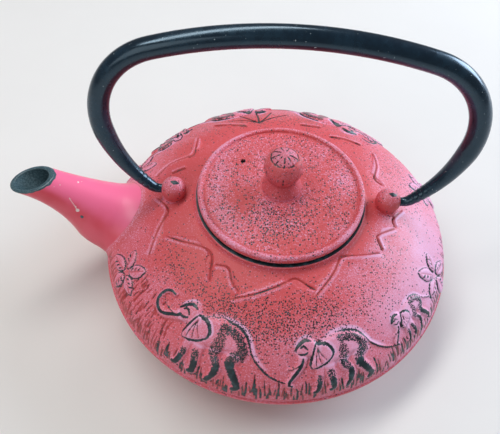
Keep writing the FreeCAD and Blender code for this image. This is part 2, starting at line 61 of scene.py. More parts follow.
def bell(value):
    """1 at zero, falling off smoothly on both sides."""
    return np.exp(-value ** 2)


def wrapped(degrees, full=360):
    """Angle from the nearest of the places that lie a full turn, or another step, apart."""
    return (degrees + full / 2) % full - full / 2


def xyz(x, y, z):
    """Points from their three parts, each spread to the shape of all."""
    return np.stack(np.broadcast_arrays(x, y, z), axis=-1)


def from_axis(points):
    """Distance of points to the pot's axis."""
    return np.hypot(points[..., 0], points[..., 1])


def turn_of(points):
    """Angle of points about the pot's axis, in degrees from +X."""
    return np.degrees(np.arctan2(points[..., 1], points[..., 0]))


def lumps(points, size):
    """Smooth noise between about -1 and 1 at points in millimetres, with lumps of one size."""
    values = [noise.noise(point) for point in (points.reshape(-1, 3) / size).tolist()]
    return np.array(values).reshape(points.shape[:-1])


def smooth_line(points, closed=False, steps=6):
    """Points along a curve that passes through each of the given ones."""
    points = np.array(points, float)
    before, after = (points[-1:], points[:2]) if closed else (points[:1], points[-1:])
    held = np.concatenate([before, points, after])
    share = np.linspace(0, 1, steps, endpoint=False)[:, None]
    runs = []
    for p0, p1, p2, p3 in zip(held, held[1:], held[2:], held[3:]):
        curve = (2 * p0 - 5 * p1 + 4 * p2 - p3) * share ** 2 + (3 * (p1 - p2) + p3 - p0) * share ** 3
        runs.append(p1 + ((p2 - p0) * share + curve) / 2)
    runs.append(points[:1] if closed else points[-1:])
    return np.concatenate(runs)


def distance_to(points, line):
    """Distance of each point to a line of straight runs, and the share of the line passed there."""
    lengths = np.linalg.norm(np.diff(line, axis=0), axis=1)
    passed = np.concatenate([[0], np.cumsum(lengths)])
    nearest = np.full(points.shape[:-1], np.inf)
    place = np.zeros(points.shape[:-1])
    for index, (start, end) in enumerate(zip(line, line[1:])):
        if lengths[index] == 0:
            continue
        way = end - start
        share = np.clip((points - start) @ way / (way @ way), 0, 1)
        gap = np.linalg.norm(points - start - share[..., None] * way, axis=-1)
        closer = gap < nearest
        nearest = np.where(closer, gap, nearest)
        place = np.where(closer, passed[index] + share * lengths[index], place)
    return nearest, place / passed[-1]


def is_inside(points, outline):
    """Whether flat points lie inside a closed outline."""
    x, y = points[..., 0], points[..., 1]
    odd = np.zeros(x.shape, bool)
    for (x0, y0), (x1, y1) in zip(outline, outline[1:]):
        if y0 == y1:
            continue
        crosses = (y0 > y) != (y1 > y)
        odd ^= crosses & (x < x0 + (y - y0) * (x1 - x0) / (y1 - y0))
    return odd


# Meshes

def put_in_scene(name, data):
    """New object of the scene that shows a mesh, a lamp or a camera."""
    thing = bpy.data.objects.new(name, data)
    bpy.context.scene.collection.objects.link(thing)
    return thing


def skin(name, points, **layers):
    """Smooth mesh over closed rows of points in millimetres, with one number per point in each layer."""
    rows, columns = points.shape[:2]
    index = np.arange(rows * columns).reshape(rows, columns)
    index = np.concatenate([index, index[:, :1]], axis=1)
    quads = np.stack([index[:-1, :-1], index[:-1, 1:], index[1:, 1:], index[1:, :-1]], axis=-1)
    mesh = bpy.data.meshes.new(name)
    mesh.from_pydata((points.reshape(-1, 3) * MM).tolist(), [], quads.reshape(-1, 4).tolist())
    for layer, values in layers.items():
        attribute = mesh.attributes.new(layer, "FLOAT", "POINT")
        sheet = np.broadcast_to(values, (rows, columns))
        attribute.data.foreach_set("value", sheet.ravel().astype(np.float32))
    mesh.shade_smooth()
    return put_in_scene(name, mesh)


def turned(outline, columns):
    """Closed rows of points for runs of an outline (radius, height) turned about the pot's axis."""
    angle = np.linspace(-math.pi, math.pi, columns, endpoint=False)
    radius, height = np.concatenate(outline).T[..., None]
    return xyz(radius * np.cos(angle), radius * np.sin(angle), height)


def arc(middle, radius, start, end, steps):
    """Points of an arc in the outline's plane, between two angles in degrees."""
    angle = np.radians(np.linspace(start, end, steps))
    return np.stack([middle[0] + radius * np.cos(angle), middle[1] + radius * np.sin(angle)], axis=-1)


def run(start, end, steps):
    """Points of a straight run, without its last one."""
    return np.linspace(start, end, steps, endpoint=False)


def pushed(points, height):
    """Closed rows of points of a turned shape, each moved straight out of its surface by a height."""
    across = np.roll(points, -1, axis=1) - np.roll(points, 1, axis=1)
    along = np.gradient(points, axis=0)
    way = np.cross(across, along)
    length = np.linalg.norm(way, axis=-1, keepdims=True)
    return points + way / np.maximum(length, 1e-12) * height[..., None]


def join_poles(piece):
    """Merge the points that meet on the axis."""
    shape = bmesh.new()
    shape.from_mesh(piece.data)
    bmesh.ops.remove_doubles(shape, verts=shape.verts, dist=1e-6)
    shape.to_mesh(piece.data)
    shape.free()


def paint(piece, material):
    """Make a material the only one of a piece."""
    piece.data.materials.clear()
    piece.data.materials.append(material)


def dress(piece, body, material, slot, *nodes):
    """Give a piece its material and its place in the part."""
    paint(piece, material)
    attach(piece, body)
    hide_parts(*nodes)


# Materials

class Nodes:
    """Short ways to add and join a material's nodes."""

    def __init__(self, name):
        self.material = bpy.data.materials.new(name)
        self.material.use_nodes = True
        self.tree = self.material.node_tree
        self.shader = self.tree.nodes["Principled BSDF"]
        self.place = self.new("TexCoord").outputs["Object"]

    def link(self, value, socket):
        if isinstance(value, bpy.types.NodeSocket):
            self.tree.links.new(value, socket)
        else:
            socket.default_value = value

    def feed(self, node, inputs):
        """Join or set a node's inputs, whose names have underscores for spaces here."""
        for name, value in inputs.items():
            self.link(value, node.inputs[name.replace("_", " ")])

    def new(self, kind, **inputs):
        node = self.tree.nodes.new("ShaderNode" + kind)
        self.feed(node, inputs)
        return node

    def noise(self, size, detail=2.0, roughness=0.5):
        """Noise with lumps of about one size, in millimetres."""
        scale = 1 / (size * MM)
        node = self.new("TexNoise", Vector=self.place, Scale=scale, Detail=detail, Roughness=roughness)
        return node.outputs["Fac"]

    def layer(self, name):
        """Number painted on the mesh under one name."""
        node = self.new("Attribute")
        node.attribute_name = name
        return node.outputs["Fac"]

    def math(self, way, first, second):
        node = self.new("Math")
        node.operation = way
        self.link(first, node.inputs[0])
        self.link(second, node.inputs[1])
        return node.outputs[0]

    def between(self, value, low, high, start=0.0, end=1.0):
        """A value carried from one range to another, smooth and held at both ends."""
        node = self.new("MapRange", Value=value, From_Min=low, From_Max=high, To_Min=start, To_Max=end)
        node.interpolation_type = "SMOOTHSTEP"
        return node.outputs["Result"]

    def add(self, first, second):
        return self.math("ADD", first, second)

    def spread(self, value, width):
        """Noise about its middle, spread over a width."""
        return self.math("MULTIPLY", self.math("SUBTRACT", value, 0.5), width)

    def specks(self, size, share):
        """Small ragged dots, one chance for each cell of about one size, in millimetres."""
        cells = self.new("TexVoronoi", Vector=self.place, Scale=1 / (size * MM))
        parts = self.new("SeparateColor", Color=cells.outputs["Color"])
        chosen = self.math("LESS_THAN", parts.outputs["Red"], share)
        ragged = self.add(cells.outputs["Distance"], self.spread(self.noise(size * 0.4), 0.6))
        return self.math("MULTIPLY", chosen, self.between(ragged, 0.36, 0.46, 1, 0))

    def mix(self, share, first, second):
        node = self.new("Mix")
        node.data_type = "RGBA"
        self.link(share, node.inputs["Factor"])
        for value, socket in ((first, node.inputs["A"]), (second, node.inputs["B"])):
            self.link(value if isinstance(value, bpy.types.NodeSocket) else (*value, 1), socket)
        return node.outputs["Result"]

    def bump(self, height, depth, strength):
        """Small dents and grains in the surface, to a depth in millimetres."""
        node = self.new("Bump", Strength=strength, Distance=depth * MM, Height=height)
        self.link(node.outputs["Normal"], self.shader.inputs["Normal"])

    def set(self, **values):
        self.feed(self.shader, values)


# The pale lilac serves both pale high grains and painted sheen and highlights; the dark red is painted shade.
RED = (0.66, 0.083, 0.095)
ROSE = (0.76, 0.20, 0.285)
PALE = (0.86, 0.47, 0.72)
SHADE_RED = (0.40, 0.03, 0.03)
LIT_TOP_PINK = (0.94, 0.17, 0.33)
IRON = (0.010, 0.020, 0.026)
IRON_SHEEN = (0.045, 0.095, 0.115)


def worn_paint(name, grain, speck, sandy):
    """Matt red paint on black iron: pale on high grains, black specks in pits, bare iron where worn, with
    painted shade and painted sheen and highlights from the mesh's layers.
    """
    nodes = Nodes(name)
    grains = nodes.noise(grain, detail=2)
    clouds = nodes.noise(15, detail=3)
    smears = nodes.noise(4, detail=4, roughness=0.65)
    # Pale layer with cloudy tone: where the layer is high this is painted sheen and highlight.
    dust = nodes.add(nodes.layer("pale"), nodes.spread(clouds, 0.55))
    colour = nodes.mix(nodes.between(nodes.add(dust, nodes.spread(grains, 1.1)), 0.0, 0.75), RED, ROSE)
    high = nodes.add(grains, nodes.math("MULTIPLY", dust, 0.16))
    colour = nodes.mix(nodes.between(high, 0.60 - sandy, 0.74 - sandy, 0, 0.55), colour, PALE)
    colour = nodes.mix(nodes.between(dust, 0.55, 1.25, 0, 0.8), colour, PALE)
    # Painted shade: dark red where the mesh's shade layer is high, in recesses, grooves and undersides,
    # broken by random smears.
    shade = nodes.add(nodes.layer("deep"), nodes.spread(smears, 0.4))
    colour = nodes.mix(nodes.between(shade, 0.2, 0.95, 0, 0.85), colour, SHADE_RED)
    specks = nodes.specks(speck, nodes.layer("speckle"))
    worn = nodes.add(nodes.layer("iron"), nodes.spread(grains, 1.3))
    bare = nodes.math("MAXIMUM", specks, nodes.between(worn, 0.45, 0.55))
    metal = nodes.mix(nodes.between(smears, 0.46, 0.70), IRON, IRON_SHEEN)
    nodes.set(
        Base_Color=nodes.mix(bare, colour, metal),
        Roughness=nodes.between(bare, 0.0, 1.0, 0.52, 0.33),
        Specular_IOR_Level=0.5,
    )
    nodes.bump(nodes.math("SUBTRACT", grains, nodes.math("MULTIPLY", specks, 0.5)), 0.2, 0.5)
    return nodes.material


def smooth_paint(name):
    """Satin paint of the spout with a hot pink painted highlight along its top, a few chips, and blue-grey
    enamel round and inside its mouth, lightened as a painted reflection.
    """
    nodes = Nodes(name)
    clouds = nodes.noise(14, detail=2)
    dapple = nodes.noise(0.8, detail=2)
    colour = nodes.mix(nodes.between(clouds, 0.35, 0.7), (0.76, 0.075, 0.115), (0.82, 0.11, 0.17))
    # Painted highlight: hot pink where the pale layer marks the top, with cloudy tone.
    lit_top = nodes.add(nodes.layer("pale"), nodes.spread(clouds, 0.5))
    colour = nodes.mix(nodes.between(lit_top, 0.1, 1.0), colour, LIT_TOP_PINK)
    ragged = nodes.spread(dapple, 0.5)
    chip = nodes.between(nodes.add(nodes.layer("chip"), ragged), 0.45, 0.6)
    colour = nodes.mix(chip, colour, (0.86, 0.72, 0.70))
    bare = nodes.between(nodes.add(nodes.layer("iron"), ragged), 0.42, 0.58)
    # Enamel lighter blue-grey than bare enamel, as a painted reflection.
    enamel = nodes.mix(nodes.between(dapple, 0.38, 0.68), (0.045, 0.085, 0.105), (0.085, 0.15, 0.18))
    nodes.set(
        Base_Color=nodes.mix(bare, colour, enamel),
        Roughness=nodes.between(nodes.add(bare, nodes.spread(clouds, 0.3)), -0.1, 1.0, 0.38, 0.2),
        Specular_IOR_Level=0.5,
    )
    nodes.bump(dapple, 0.06, 0.3)
    return nodes.material


def black_enamel(name, rough=0.2):
    """Glossy black enamel with a blue cast, fine orange peel, dull patches and tiny pale specks."""
    nodes = Nodes(name)
    peel = nodes.noise(2.2, detail=2)
    dust = nodes.noise(0.9, detail=1)
    patches = nodes.noise(9, detail=4, roughness=0.6)
    speck = nodes.between(dust, 0.765, 0.785)
    colour = nodes.mix(nodes.between(patches, 0.35, 0.7), (0.002, 0.008, 0.018), (0.005, 0.020, 0.038))
    nodes.set(
        Base_Color=nodes.mix(speck, colour, (0.42, 0.50, 0.52)),
        Roughness=nodes.between(patches, 0.3, 0.75, rough, rough + 0.14),
        Specular_IOR_Level=0.8,
        Specular_Tint=(0.50, 0.78, 1.0, 1.0),
        Coat_Weight=0.22,
        Coat_Roughness=0.1,
    )
    nodes.bump(peel, 0.05, 0.25)
    return nodes.material


def brushed_steel(name, tint, rough):
    """Steel with fine brush lines round the axis and faint stains."""
    nodes = Nodes(name)
    stretch = nodes.new("Mapping", Vector=nodes.place, Scale=(120, 120, 5000))
    lines = nodes.new("TexNoise", Vector=stretch.outputs["Vector"], Scale=1.0, Detail=3).outputs["Fac"]
    stains = nodes.noise(7, detail=4)
    darker = tuple(0.72 * part for part in tint)
    nodes.set(
        Base_Color=nodes.mix(nodes.between(stains, 0.35, 0.7), darker, tint),
        Metallic=1.0,
        Roughness=nodes.between(lines, 0.3, 0.7, rough, rough + 0.2),
    )
    nodes.bump(lines, 0.03, 0.3)
    return nodes.material


POT_PAINT = worn_paint("pot_paint", grain=0.55, speck=0.9, sandy=0.0)
LID_PAINT = worn_paint("lid_paint", grain=0.7, speck=1.05, sandy=0.03)
SPOUT_PAINT = smooth_paint("spout_paint")
ENAMEL = black_enamel("bail_enamel")
POT_LINING = black_enamel("pot_lining", rough=0.34)
STEEL = brushed_steel("infuser_steel", (0.62, 0.62, 0.60), 0.26)
PLATED = brushed_steel("screw_steel", (0.50, 0.50, 0.48), 0.34)


# Pot: sizes of its turned outline, as in the solids

BASE_RADIUS = 52.0
BASE_HEIGHT = 3.0
BOWL_CURVE = 55.0
BOWL_MIDDLE = (48.8, 57.9)
WALL = 4.0
SHOULDER_RADIUS = 95.2
RIM_LEVEL = 28.5
RIM_TOP = 30.5
RIM_REACH = 0.9
BEND = 18.0
BEND_ANGLE = 45.0
BEND_MIDDLE = (SHOULDER_RADIUS - BEND, RIM_TOP)
CROWN = 84.0
CROWN_MIDDLE = tuple(part + (BEND - CROWN) * math.sin(math.radians(BEND_ANGLE)) for part in BEND_MIDDLE)
COLLAR_RADIUS = 44.5
COLLAR_TOP = 69.8
MOUTH_RADIUS = 36.0
CROWN_END = math.degrees(math.acos((COLLAR_RADIUS - CROWN_MIDDLE[0]) / CROWN))
BEND_LENGTH = BEND * math.radians(BEND_ANGLE)
SHOULDER_LENGTH = BEND_LENGTH + CROWN * math.radians(CROWN_END - BEND_ANGLE)


def shoulder_at(length):
    """Radius and height on the shoulder at a length up from the parting rim."""
    length = np.asarray(length, float)
    low = np.clip(length / BEND, 0, math.radians(BEND_ANGLE))
    high = math.radians(BEND_ANGLE) + np.clip(length - BEND_LENGTH, 0, None) / CROWN
    on_bend = length < BEND_LENGTH
    radius = np.where(on_bend, BEND_MIDDLE[0] + BEND * np.cos(low), CROWN_MIDDLE[0] + CROWN * np.cos(high))
    height = np.where(on_bend, BEND_MIDDLE[1] + BEND * np.sin(low), CROWN_MIDDLE[1] + CROWN * np.sin(high))
    return radius, height


def shoulder_point(angle, length):
    """Point on the shoulder at an angle in degrees from +X and a length up from the rim."""
    radius, height = shoulder_at(length)
    turn = np.radians(angle)
    return xyz(radius * np.cos(turn), radius * np.sin(turn), height)


def shoulder_distance(points):
    """Signed distance of points to the shoulder's plain outside."""
    radius = from_axis(points)
    height = points[..., 2]
    to_bend = np.hypot(radius - BEND_MIDDLE[0], height - BEND_MIDDLE[1]) - BEND
    to_crown = np.hypot(radius - CROWN_MIDDLE[0], height - CROWN_MIDDLE[1]) - CROWN
    by_bend = height - BEND_MIDDLE[1] < radius - BEND_MIDDLE[0]
    to_rim = radius - SHOULDER_RADIUS
    return np.where(height < RIM_TOP, to_rim, np.where(by_bend, to_bend, to_crown))


# Spout: round sections along a bent middle line, as in the solid from mouth to neck, fuller at its root

SPOUT_TIP = np.array([-130.8, 70.6])
SPOUT_ROOT = np.array([-70.0, 34.0])
TIP_SLOPE, NECK_SLOPE, ROOT_SLOPE = np.radians([28.5, 46.5, 20.0])
SPOUT_LENGTH = 36.5
SPOUT_BEND = SPOUT_LENGTH / (NECK_SLOPE - TIP_SLOPE)
SPOUT_RADII = (9.0, 16.3, 20.0)
CHANNEL_RADII = (6.9, 12.25, 14.0)
WALL_END = 1.62
CHANNEL_END = 1.9
LIP_SLOPE = math.radians(16.0)
LIP_ROUNDING = 0.62
FILLET = 8.0


def spout_arc(share):
    """Place (x, z) and slope of the spout's middle line between its mouth, share 0, and its neck, share 1."""
    slope = TIP_SLOPE + (NECK_SLOPE - TIP_SLOPE) * share
    x = SPOUT_TIP[0] + SPOUT_BEND * (np.sin(slope) - np.sin(TIP_SLOPE))
    z = SPOUT_TIP[1] - SPOUT_BEND * (np.cos(TIP_SLOPE) - np.cos(slope))
    return x, z, slope


SPOUT_NECK = np.array(spout_arc(1.0)[:2])
ROOT_LENGTH = float(np.linalg.norm(SPOUT_ROOT - SPOUT_NECK))


def spout_middle(share):
    """Middle line (x, z) and tilt of the spout; share 0 at its mouth, 1 at its neck, 2 at its root."""
    share = np.asarray(share, float)
    x, z, slope = spout_arc(np.minimum(share, 1.0))
    further = np.clip(share - 1, 0, 1)
    leaving, arriving = (
        (ROOT_LENGTH * np.cos(angle), -ROOT_LENGTH * np.sin(angle)) for angle in (NECK_SLOPE, ROOT_SLOPE)
    )
    x_further, z_further = (
        ease(further, SPOUT_NECK[axis], SPOUT_ROOT[axis], leaving[axis], arriving[axis]) for axis in (0, 1)
    )
    tilt = slope - (NECK_SLOPE - ROOT_SLOPE) * rise(0, 1, further)
    return np.where(share < 1, x, x_further), np.where(share < 1, z, z_further), tilt


def spout_radius(share, radii):
    """Radius of the wall or the channel: a flare from mouth to neck that levels off at the root."""
    tip, neck, root = radii
    flare = tip + (neck - tip) * np.clip(share, 0, 1) ** 2
    steepness = 2 * (neck - tip) * ROOT_LENGTH / SPOUT_LENGTH
    return np.where(share < 1, flare, ease(np.clip(share - 1, 0, 1), neck, root, steepness, 0.0))


def spout_way(tilt, turn):
    """Direction out of the spout's middle line at each turn about it."""
    return xyz(np.cos(turn) * np.sin(tilt), np.sin(turn), np.cos(turn) * np.cos(tilt))


def spout_ring(share, turn, radii):
    """Points of the spout's wall at each share and each turn about its middle line."""
    x, z, tilt = spout_middle(share)
    return xyz(x, 0.0, z) + spout_way(tilt, turn) * spout_radius(share, radii)[..., None]


def spout_spot(share, degrees):
    """Point on the spout's outside."""
    return spout_ring(np.array(share), np.array(math.radians(degrees)), SPOUT_RADII)


def mouth_height(points):
    """Height above the slanting plane of the spout's mouth."""
    x, z = points[..., 0] - SPOUT_TIP[0], points[..., 2] - SPOUT_TIP[1]
    return z * math.cos(LIP_SLOPE) - x * math.sin(LIP_SLOPE)


def mouth_share(turn, radii, inset):
    """Where the wall meets a plane just below the mouth's, for each turn about the middle line."""
    low, high = np.full(turn.shape, -0.8), np.full(turn.shape, 0.9)
    for _ in range(40):
        middle = (low + high) / 2
        above = mouth_height(spout_ring(middle, turn, radii)) > -inset
        low = np.where(above, middle, low)
        high = np.where(above, high, middle)
    return (low + high) / 2


def spout_distance(points, shares, radii):
    """Signed distance of points to the spout's wall or channel, by balls at shares of its middle line."""
    gaps = []
    for share in shares:
        x, z, _ = spout_middle(share)
        gaps.append(np.linalg.norm(points - xyz(x, 0.0, z), axis=-1) - spout_radius(share, radii))
    return np.min(gaps, axis=0)


def fillet(distance):
    """How far a surface swells near another one that it meets in a soft hollow."""
    return np.clip(FILLET - np.abs(distance), 0, None) ** 2 / (4 * FILLET)


# Chips in the spout's paint: share along it, degrees about it from the top, size
SPOUT_CHIPS = (
    (0.70, -62, 1.3),
    (0.66, -57, 0.6),
    (0.36, -20, 0.6),
    (0.30, -32, 0.45),
    (0.56, 8, 0.5),
    (0.60, 14, 0.4),
)
SPOUT_SCRATCH = ((0.53, -44), (0.60, -52), (0.68, -60))
SPOUT_DARK_SPOT = (0.80, -70)


def make_spout():
    """Outer wall from inside the pot to the mouth, a round lip, and the channel back into the pot."""
    turn = np.linspace(math.pi, -math.pi, 180, endpoint=False)
    outer_end = mouth_share(turn, SPOUT_RADII, inset=0.7)
    inner_end = mouth_share(turn, CHANNEL_RADII, inset=0.5)
    share = WALL_END + (outer_end - WALL_END) * np.linspace(0, 1, 150)[:, None]
    outer = spout_ring(share, turn, SPOUT_RADII)
    swell = fillet(shoulder_distance(outer))
    outer = outer + spout_way(spout_middle(share)[2], turn) * swell[..., None]
    inner_share = inner_end + (CHANNEL_END - inner_end) * np.linspace(0, 1, 60)[:, None]
    inner = spout_ring(inner_share, turn, CHANNEL_RADII)
    lift = np.array([-math.sin(LIP_SLOPE), 0, math.cos(LIP_SLOPE)]) * LIP_ROUNDING
    round_lip = np.linspace(0, math.pi, 9)[1:-1, None, None]
    across = (1 - np.cos(round_lip)) / 2
    lip = outer[-1] * (1 - across) + inner[0] * across + lift * np.sin(round_lip)
    points = np.concatenate([outer, lip, inner])
    outside = np.arange(len(points))[:, None] < len(outer)
    grit = lumps(points, 2.4)
    iron = np.where(outside, rise(1.7, 0.5, -mouth_height(points) + 0.5 * grit), 1.0)
    spot = np.linalg.norm(points - spout_spot(*SPOUT_DARK_SPOT), axis=-1)
    iron = np.maximum(iron, rise(1.2, 0.5, spot + 0.3 * grit))
    scratch = np.array([spout_spot(*place) for place in SPOUT_SCRATCH])
    chip = 0.8 * rise(0.42, 0.15, distance_to(points, scratch)[0])
    for along, around, size in SPOUT_CHIPS:
        gap = np.linalg.norm(points - spout_spot(along, around), axis=-1) + 0.35 * grit
        chip = np.maximum(chip, rise(size, size * 0.5, gap))
    # Painted highlight along the top of the spout.
    pale = rise(0.25, 1.0, np.cos(turn))
    piece = skin("spout_casting", points, iron=iron, chip=chip * outside, pale=pale)
    dress(piece, "pot", SPOUT_PAINT, "painted_iron", "spout")


# Relief: heights and paint layers over the shoulder, drawn with strokes and raised patches

FIGURE_RADIUS = 83.0
PER_DEGREE = math.radians(FIGURE_RADIUS)


class Relief:
    """Rows and columns over a band of the shoulder, with a height and paint layers at each point."""

    def __init__(self, angle, length):
        self.angle = angle
        self.length = length
        self.points = shoulder_point(angle[None, :], length[:, None])
        shape = self.points.shape[:2]
        self.height = np.zeros(shape)
        self.iron = np.zeros(shape)
        self.pale = np.zeros(shape)
        self.deep = np.zeros(shape)

    def lay(self, layer, values, columns=slice(None)):
        """Keep the greater of a layer and new values."""
        sheet = getattr(self, layer)
        sheet[:, columns] = np.maximum(sheet[:, columns], values)


def fading(place):
    """1 in the middle of a line, falling to 0 at both ends."""
    return np.sqrt(np.sin(math.pi * np.clip(place, 0.0, 0.999)))


class Window:
    """Part of a relief round one angle, as a flat drawing of x along and y up in millimetres."""

    def __init__(self, relief, middle, foot, half_width, scale=1.0):
        offset = wrapped(relief.angle - middle)
        self.columns = np.flatnonzero(np.abs(offset) * PER_DEGREE < half_width * scale)
        self.relief = relief
        x = offset[self.columns] * PER_DEGREE / scale
        y = (relief.length - foot) / scale
        self.points = np.stack(np.meshgrid(x, y), axis=-1)
        self.grit = lumps(relief.points[:, self.columns], 0.8)

    def lay(self, layer, values):
        self.relief.lay(layer, values, self.columns)

    def along(self, points, closed=False):
        """Distance to a smooth line through some points, and the share of it passed there."""
        return distance_to(self.points, smooth_line(points, closed))

    def depth(self, outline):
        """Distance inside a smooth closed outline, negative outside it."""
        line = smooth_line(outline, closed=True)
        gap = distance_to(self.points, line)[0]
        return np.where(is_inside(self.points, line), gap, -gap)

    def patch(self, outline, lift, edge):
        """Raised patch with a rounded edge and a pale painted highlight along it."""
        depth = self.depth(outline)
        self.lay("height", lift * rise(-0.5, edge, depth))
        self.lay("pale", 0.4 * bell((depth - 0.2) / 0.8))

    def mottle(self, outline, share):
        """Patch worn to bare iron, broken up all over."""
        self.lay("iron", share * rise(-0.8, 1.0, self.depth(outline) + 1.3 * self.grit))

    def limb(self, points, thick, thin, lift, iron=0.0):
        """Raised round limb that tapers from its first point to its last."""
        gap, place = self.along(points)
        across = gap / (thick + (thin - thick) * place)
        self.lay("height", lift * np.sqrt(np.clip(1 - (across / 1.15) ** 2, 0, 1)))
        if iron:
            self.lay("iron", iron * (1 - rise(0.6, 1.0, across + 0.3 * self.grit)))

    def ink(self, points, width, share=0.95, closed=False):
        """Brushed line of bare iron, thinner towards its ends."""
        gap, place = self.along(points, closed)
        swelling = 1.0 if closed else 0.45 + 0.55 * fading(place)
        self.lay("iron", share * (1 - rise(0.6, 1.0, gap / (width * swelling) + 0.15 * self.grit)))

    def painted_highlight(self, points, width):
        """Painted highlight: a pale line along a raised edge, where the light falls."""
        gap, place = self.along(points)
        self.lay("pale", 1.1 * bell(gap / width) * fading(place))

    def cut(self, share, depth):
        """Share of a depth cut out at each point, with painted shade in dark red in the bottom."""
        self.relief.height[:, self.columns] -= depth * share
        self.lay("deep", 0.8 * share)

    def groove(self, points, width, depth):
        self.cut(bell(self.along(points)[0] / width), depth)


# Walking elephant that faces -x, its feet at y 0
ELEPHANT_BACK = [(-8, 29.6), (-3.5, 31.1), (2, 31.3), (9, 30), (14.1, 26.9), (17.2, 21.5)]
ELEPHANT_BELLY = [(15.6, 15), (9, 16.6), (1, 16), (-7, 14.8), (-13, 16), (-15.5, 21), (-13.5, 26.5)]
ELEPHANT_HEAD = [
    (-25, 25.4), (-22.4, 29), (-18.8, 31.2), (-14, 30.4),
    (-11, 26), (-13.5, 21), (-18.5, 20.8), (-23, 22.3),
]
EAR_FRONT = [(-16.4, 14.6), (-17.2, 17), (-16, 21.4), (-14.2, 25.8), (-13, 28)]
EAR_REAR = [(-13, 28), (-7.5, 27), (-4.4, 23.5), (-4.6, 20)]
EAR_HEM = [(-4.6, 20), (-8, 17.2), (-11.8, 15.6), (-16.4, 14.6)]
EAR_FOLDS = ((-14.4, 16.4), (-11.4, 17), (-8.4, 18.6))
ELEPHANT_LEGS = (
    ([(-12.4, 16), (-12.8, 9.5), (-13.3, 6), (-14.6, 1.6), (-16, 0.9)], 2.5, 1.6),
    ([(2.8, 21), (0.6, 14.5), (3.6, 9), (2.8, 4.5), (0.4, 0.4)], 3.4, 1.7),
    ([(-7.6, 17), (-7.2, 11), (-6.4, 6), (-6.4, 2), (-7.8, 0.8)], 3.4, 1.8),
    ([(13, 21), (10.4, 16), (9.2, 11.8), (12, 6.5), (14, 2), (12.6, 0.3)], 4.2, 2.0),
)
ELEPHANT_RUMP = [
    (0, 30), (9.5, 29), (14, 25.5), (17, 19.5), (15, 14),
    (10, 16.5), (10, 21.5), (6, 24.6), (0.5, 25),
]
ELEPHANT_FLANK = [(0.5, 26), (4.6, 24.5), (5, 18.5), (2.8, 13.5), (-2, 14.4), (-1.6, 20.5)]
GROUND_LINE = [(17.2, 21.5), (18.4, 18.6), (21.3, 14.9), (25.8, 10.7), (30, 8.2), (34, 6.6)]
RAISED_TRUNK = [
    (-21, 23.4), (-27, 20), (-30.6, 18), (-33.6, 17.8), (-36.6, 19.6),
    (-37.9, 23), (-37, 26.8), (-34.6, 28.6), (-31, 28.8),
]
RAISED_TUSK = [(-24, 21.6), (-29, 21.6), (-33.4, 22.6)]
LOWERED_TRUNK = [(-21, 21), (-21.8, 18), (-24.2, 14.2), (-26.8, 11), (-28.8, 7.4), (-27, 6)]
LOWERED_TUSK = [(-21, 19), (-25.3, 15.9), (-29.5, 15)]
# Elephants on one side of the pot: angle from +X, length up to the feet, scale, trunk, tusk
HERD = (
    (-110, 7.0, 1.0, RAISED_TRUNK, RAISED_TUSK),
    (-68, 7.0, 0.87, LOWERED_TRUNK, LOWERED_TUSK),
    (-37.5, 10.0, 0.55, LOWERED_TRUNK, LOWERED_TUSK),
)


def elephant(window, trunk, tusk):
    """Raised figure: paint worn off its legs, rump, ear and trunk."""
    for points, thick, thin in ELEPHANT_LEGS:
        window.limb(points, thick, thin, 1.15)
        window.limb(points[1:], 0.85 * thick, 0.9 * thin, 0.2, iron=0.6)
        window.limb(points[2:], 0.6 * thick, 0.8 * thin, 0.2, iron=0.95)
    window.patch(ELEPHANT_BACK + ELEPHANT_BELLY, 1.35, edge=3.2)
    window.patch(ELEPHANT_HEAD, 1.45, edge=2.4)
    window.limb(trunk, 2.7, 1.2, 1.3)
    window.patch(EAR_FRONT[:-1] + EAR_REAR[:-1] + EAR_HEM[:-1], 1.85, edge=1.1)
    window.mottle(ELEPHANT_RUMP, 0.6)
    window.mottle(ELEPHANT_FLANK, 0.56)
    # Painted highlights along the upper edges of the back, ear and head.
    outside = [(x + 0.9, y + 0.9) for x, y in ELEPHANT_BACK + GROUND_LINE[1:4]]
    window.painted_highlight(outside, 0.9)
    window.painted_highlight([(x + 1.2, y + 0.5) for x, y in EAR_REAR], 0.6)
    window.painted_highlight([(x - 0.3, y + 1.3) for x, y in ELEPHANT_HEAD[:4]], 0.7)
    window.ink(ELEPHANT_BACK[2:], 0.8)
    window.ink(EAR_REAR, 1.25)
    window.ink(EAR_HEM, 0.8)
    window.ink(EAR_FRONT, 0.8)
    for foot in EAR_FOLDS:
        top = (-12.4, 25.4)
        fold = [top, ((top[0] + foot[0]) / 2 - 0.5, (top[1] + foot[1]) / 2), foot]
        window.groove(fold, 0.45, 0.3)
        window.ink(fold, 0.4, 0.7)
    window.ink([(-25, 25.4), (-22.4, 28.4), (-19, 30.4), (-15.6, 29.6)], 1.1)
    window.ink([(-22.4, 26.4), (-20.2, 27.4), (-18, 25.4)], 0.8)
    window.ink([(-23.4, 23.4), (-20.6, 23), (-18, 24)], 0.8)
    window.ink(trunk, 1.15, 0.9)
    window.limb(tusk, 0.9, 0.5, 0.9)
    window.ink(tusk, 0.5, 0.75)
    window.limb(GROUND_LINE, 0.9, 0.5, 0.5)
    window.ink(GROUND_LINE, 0.7)


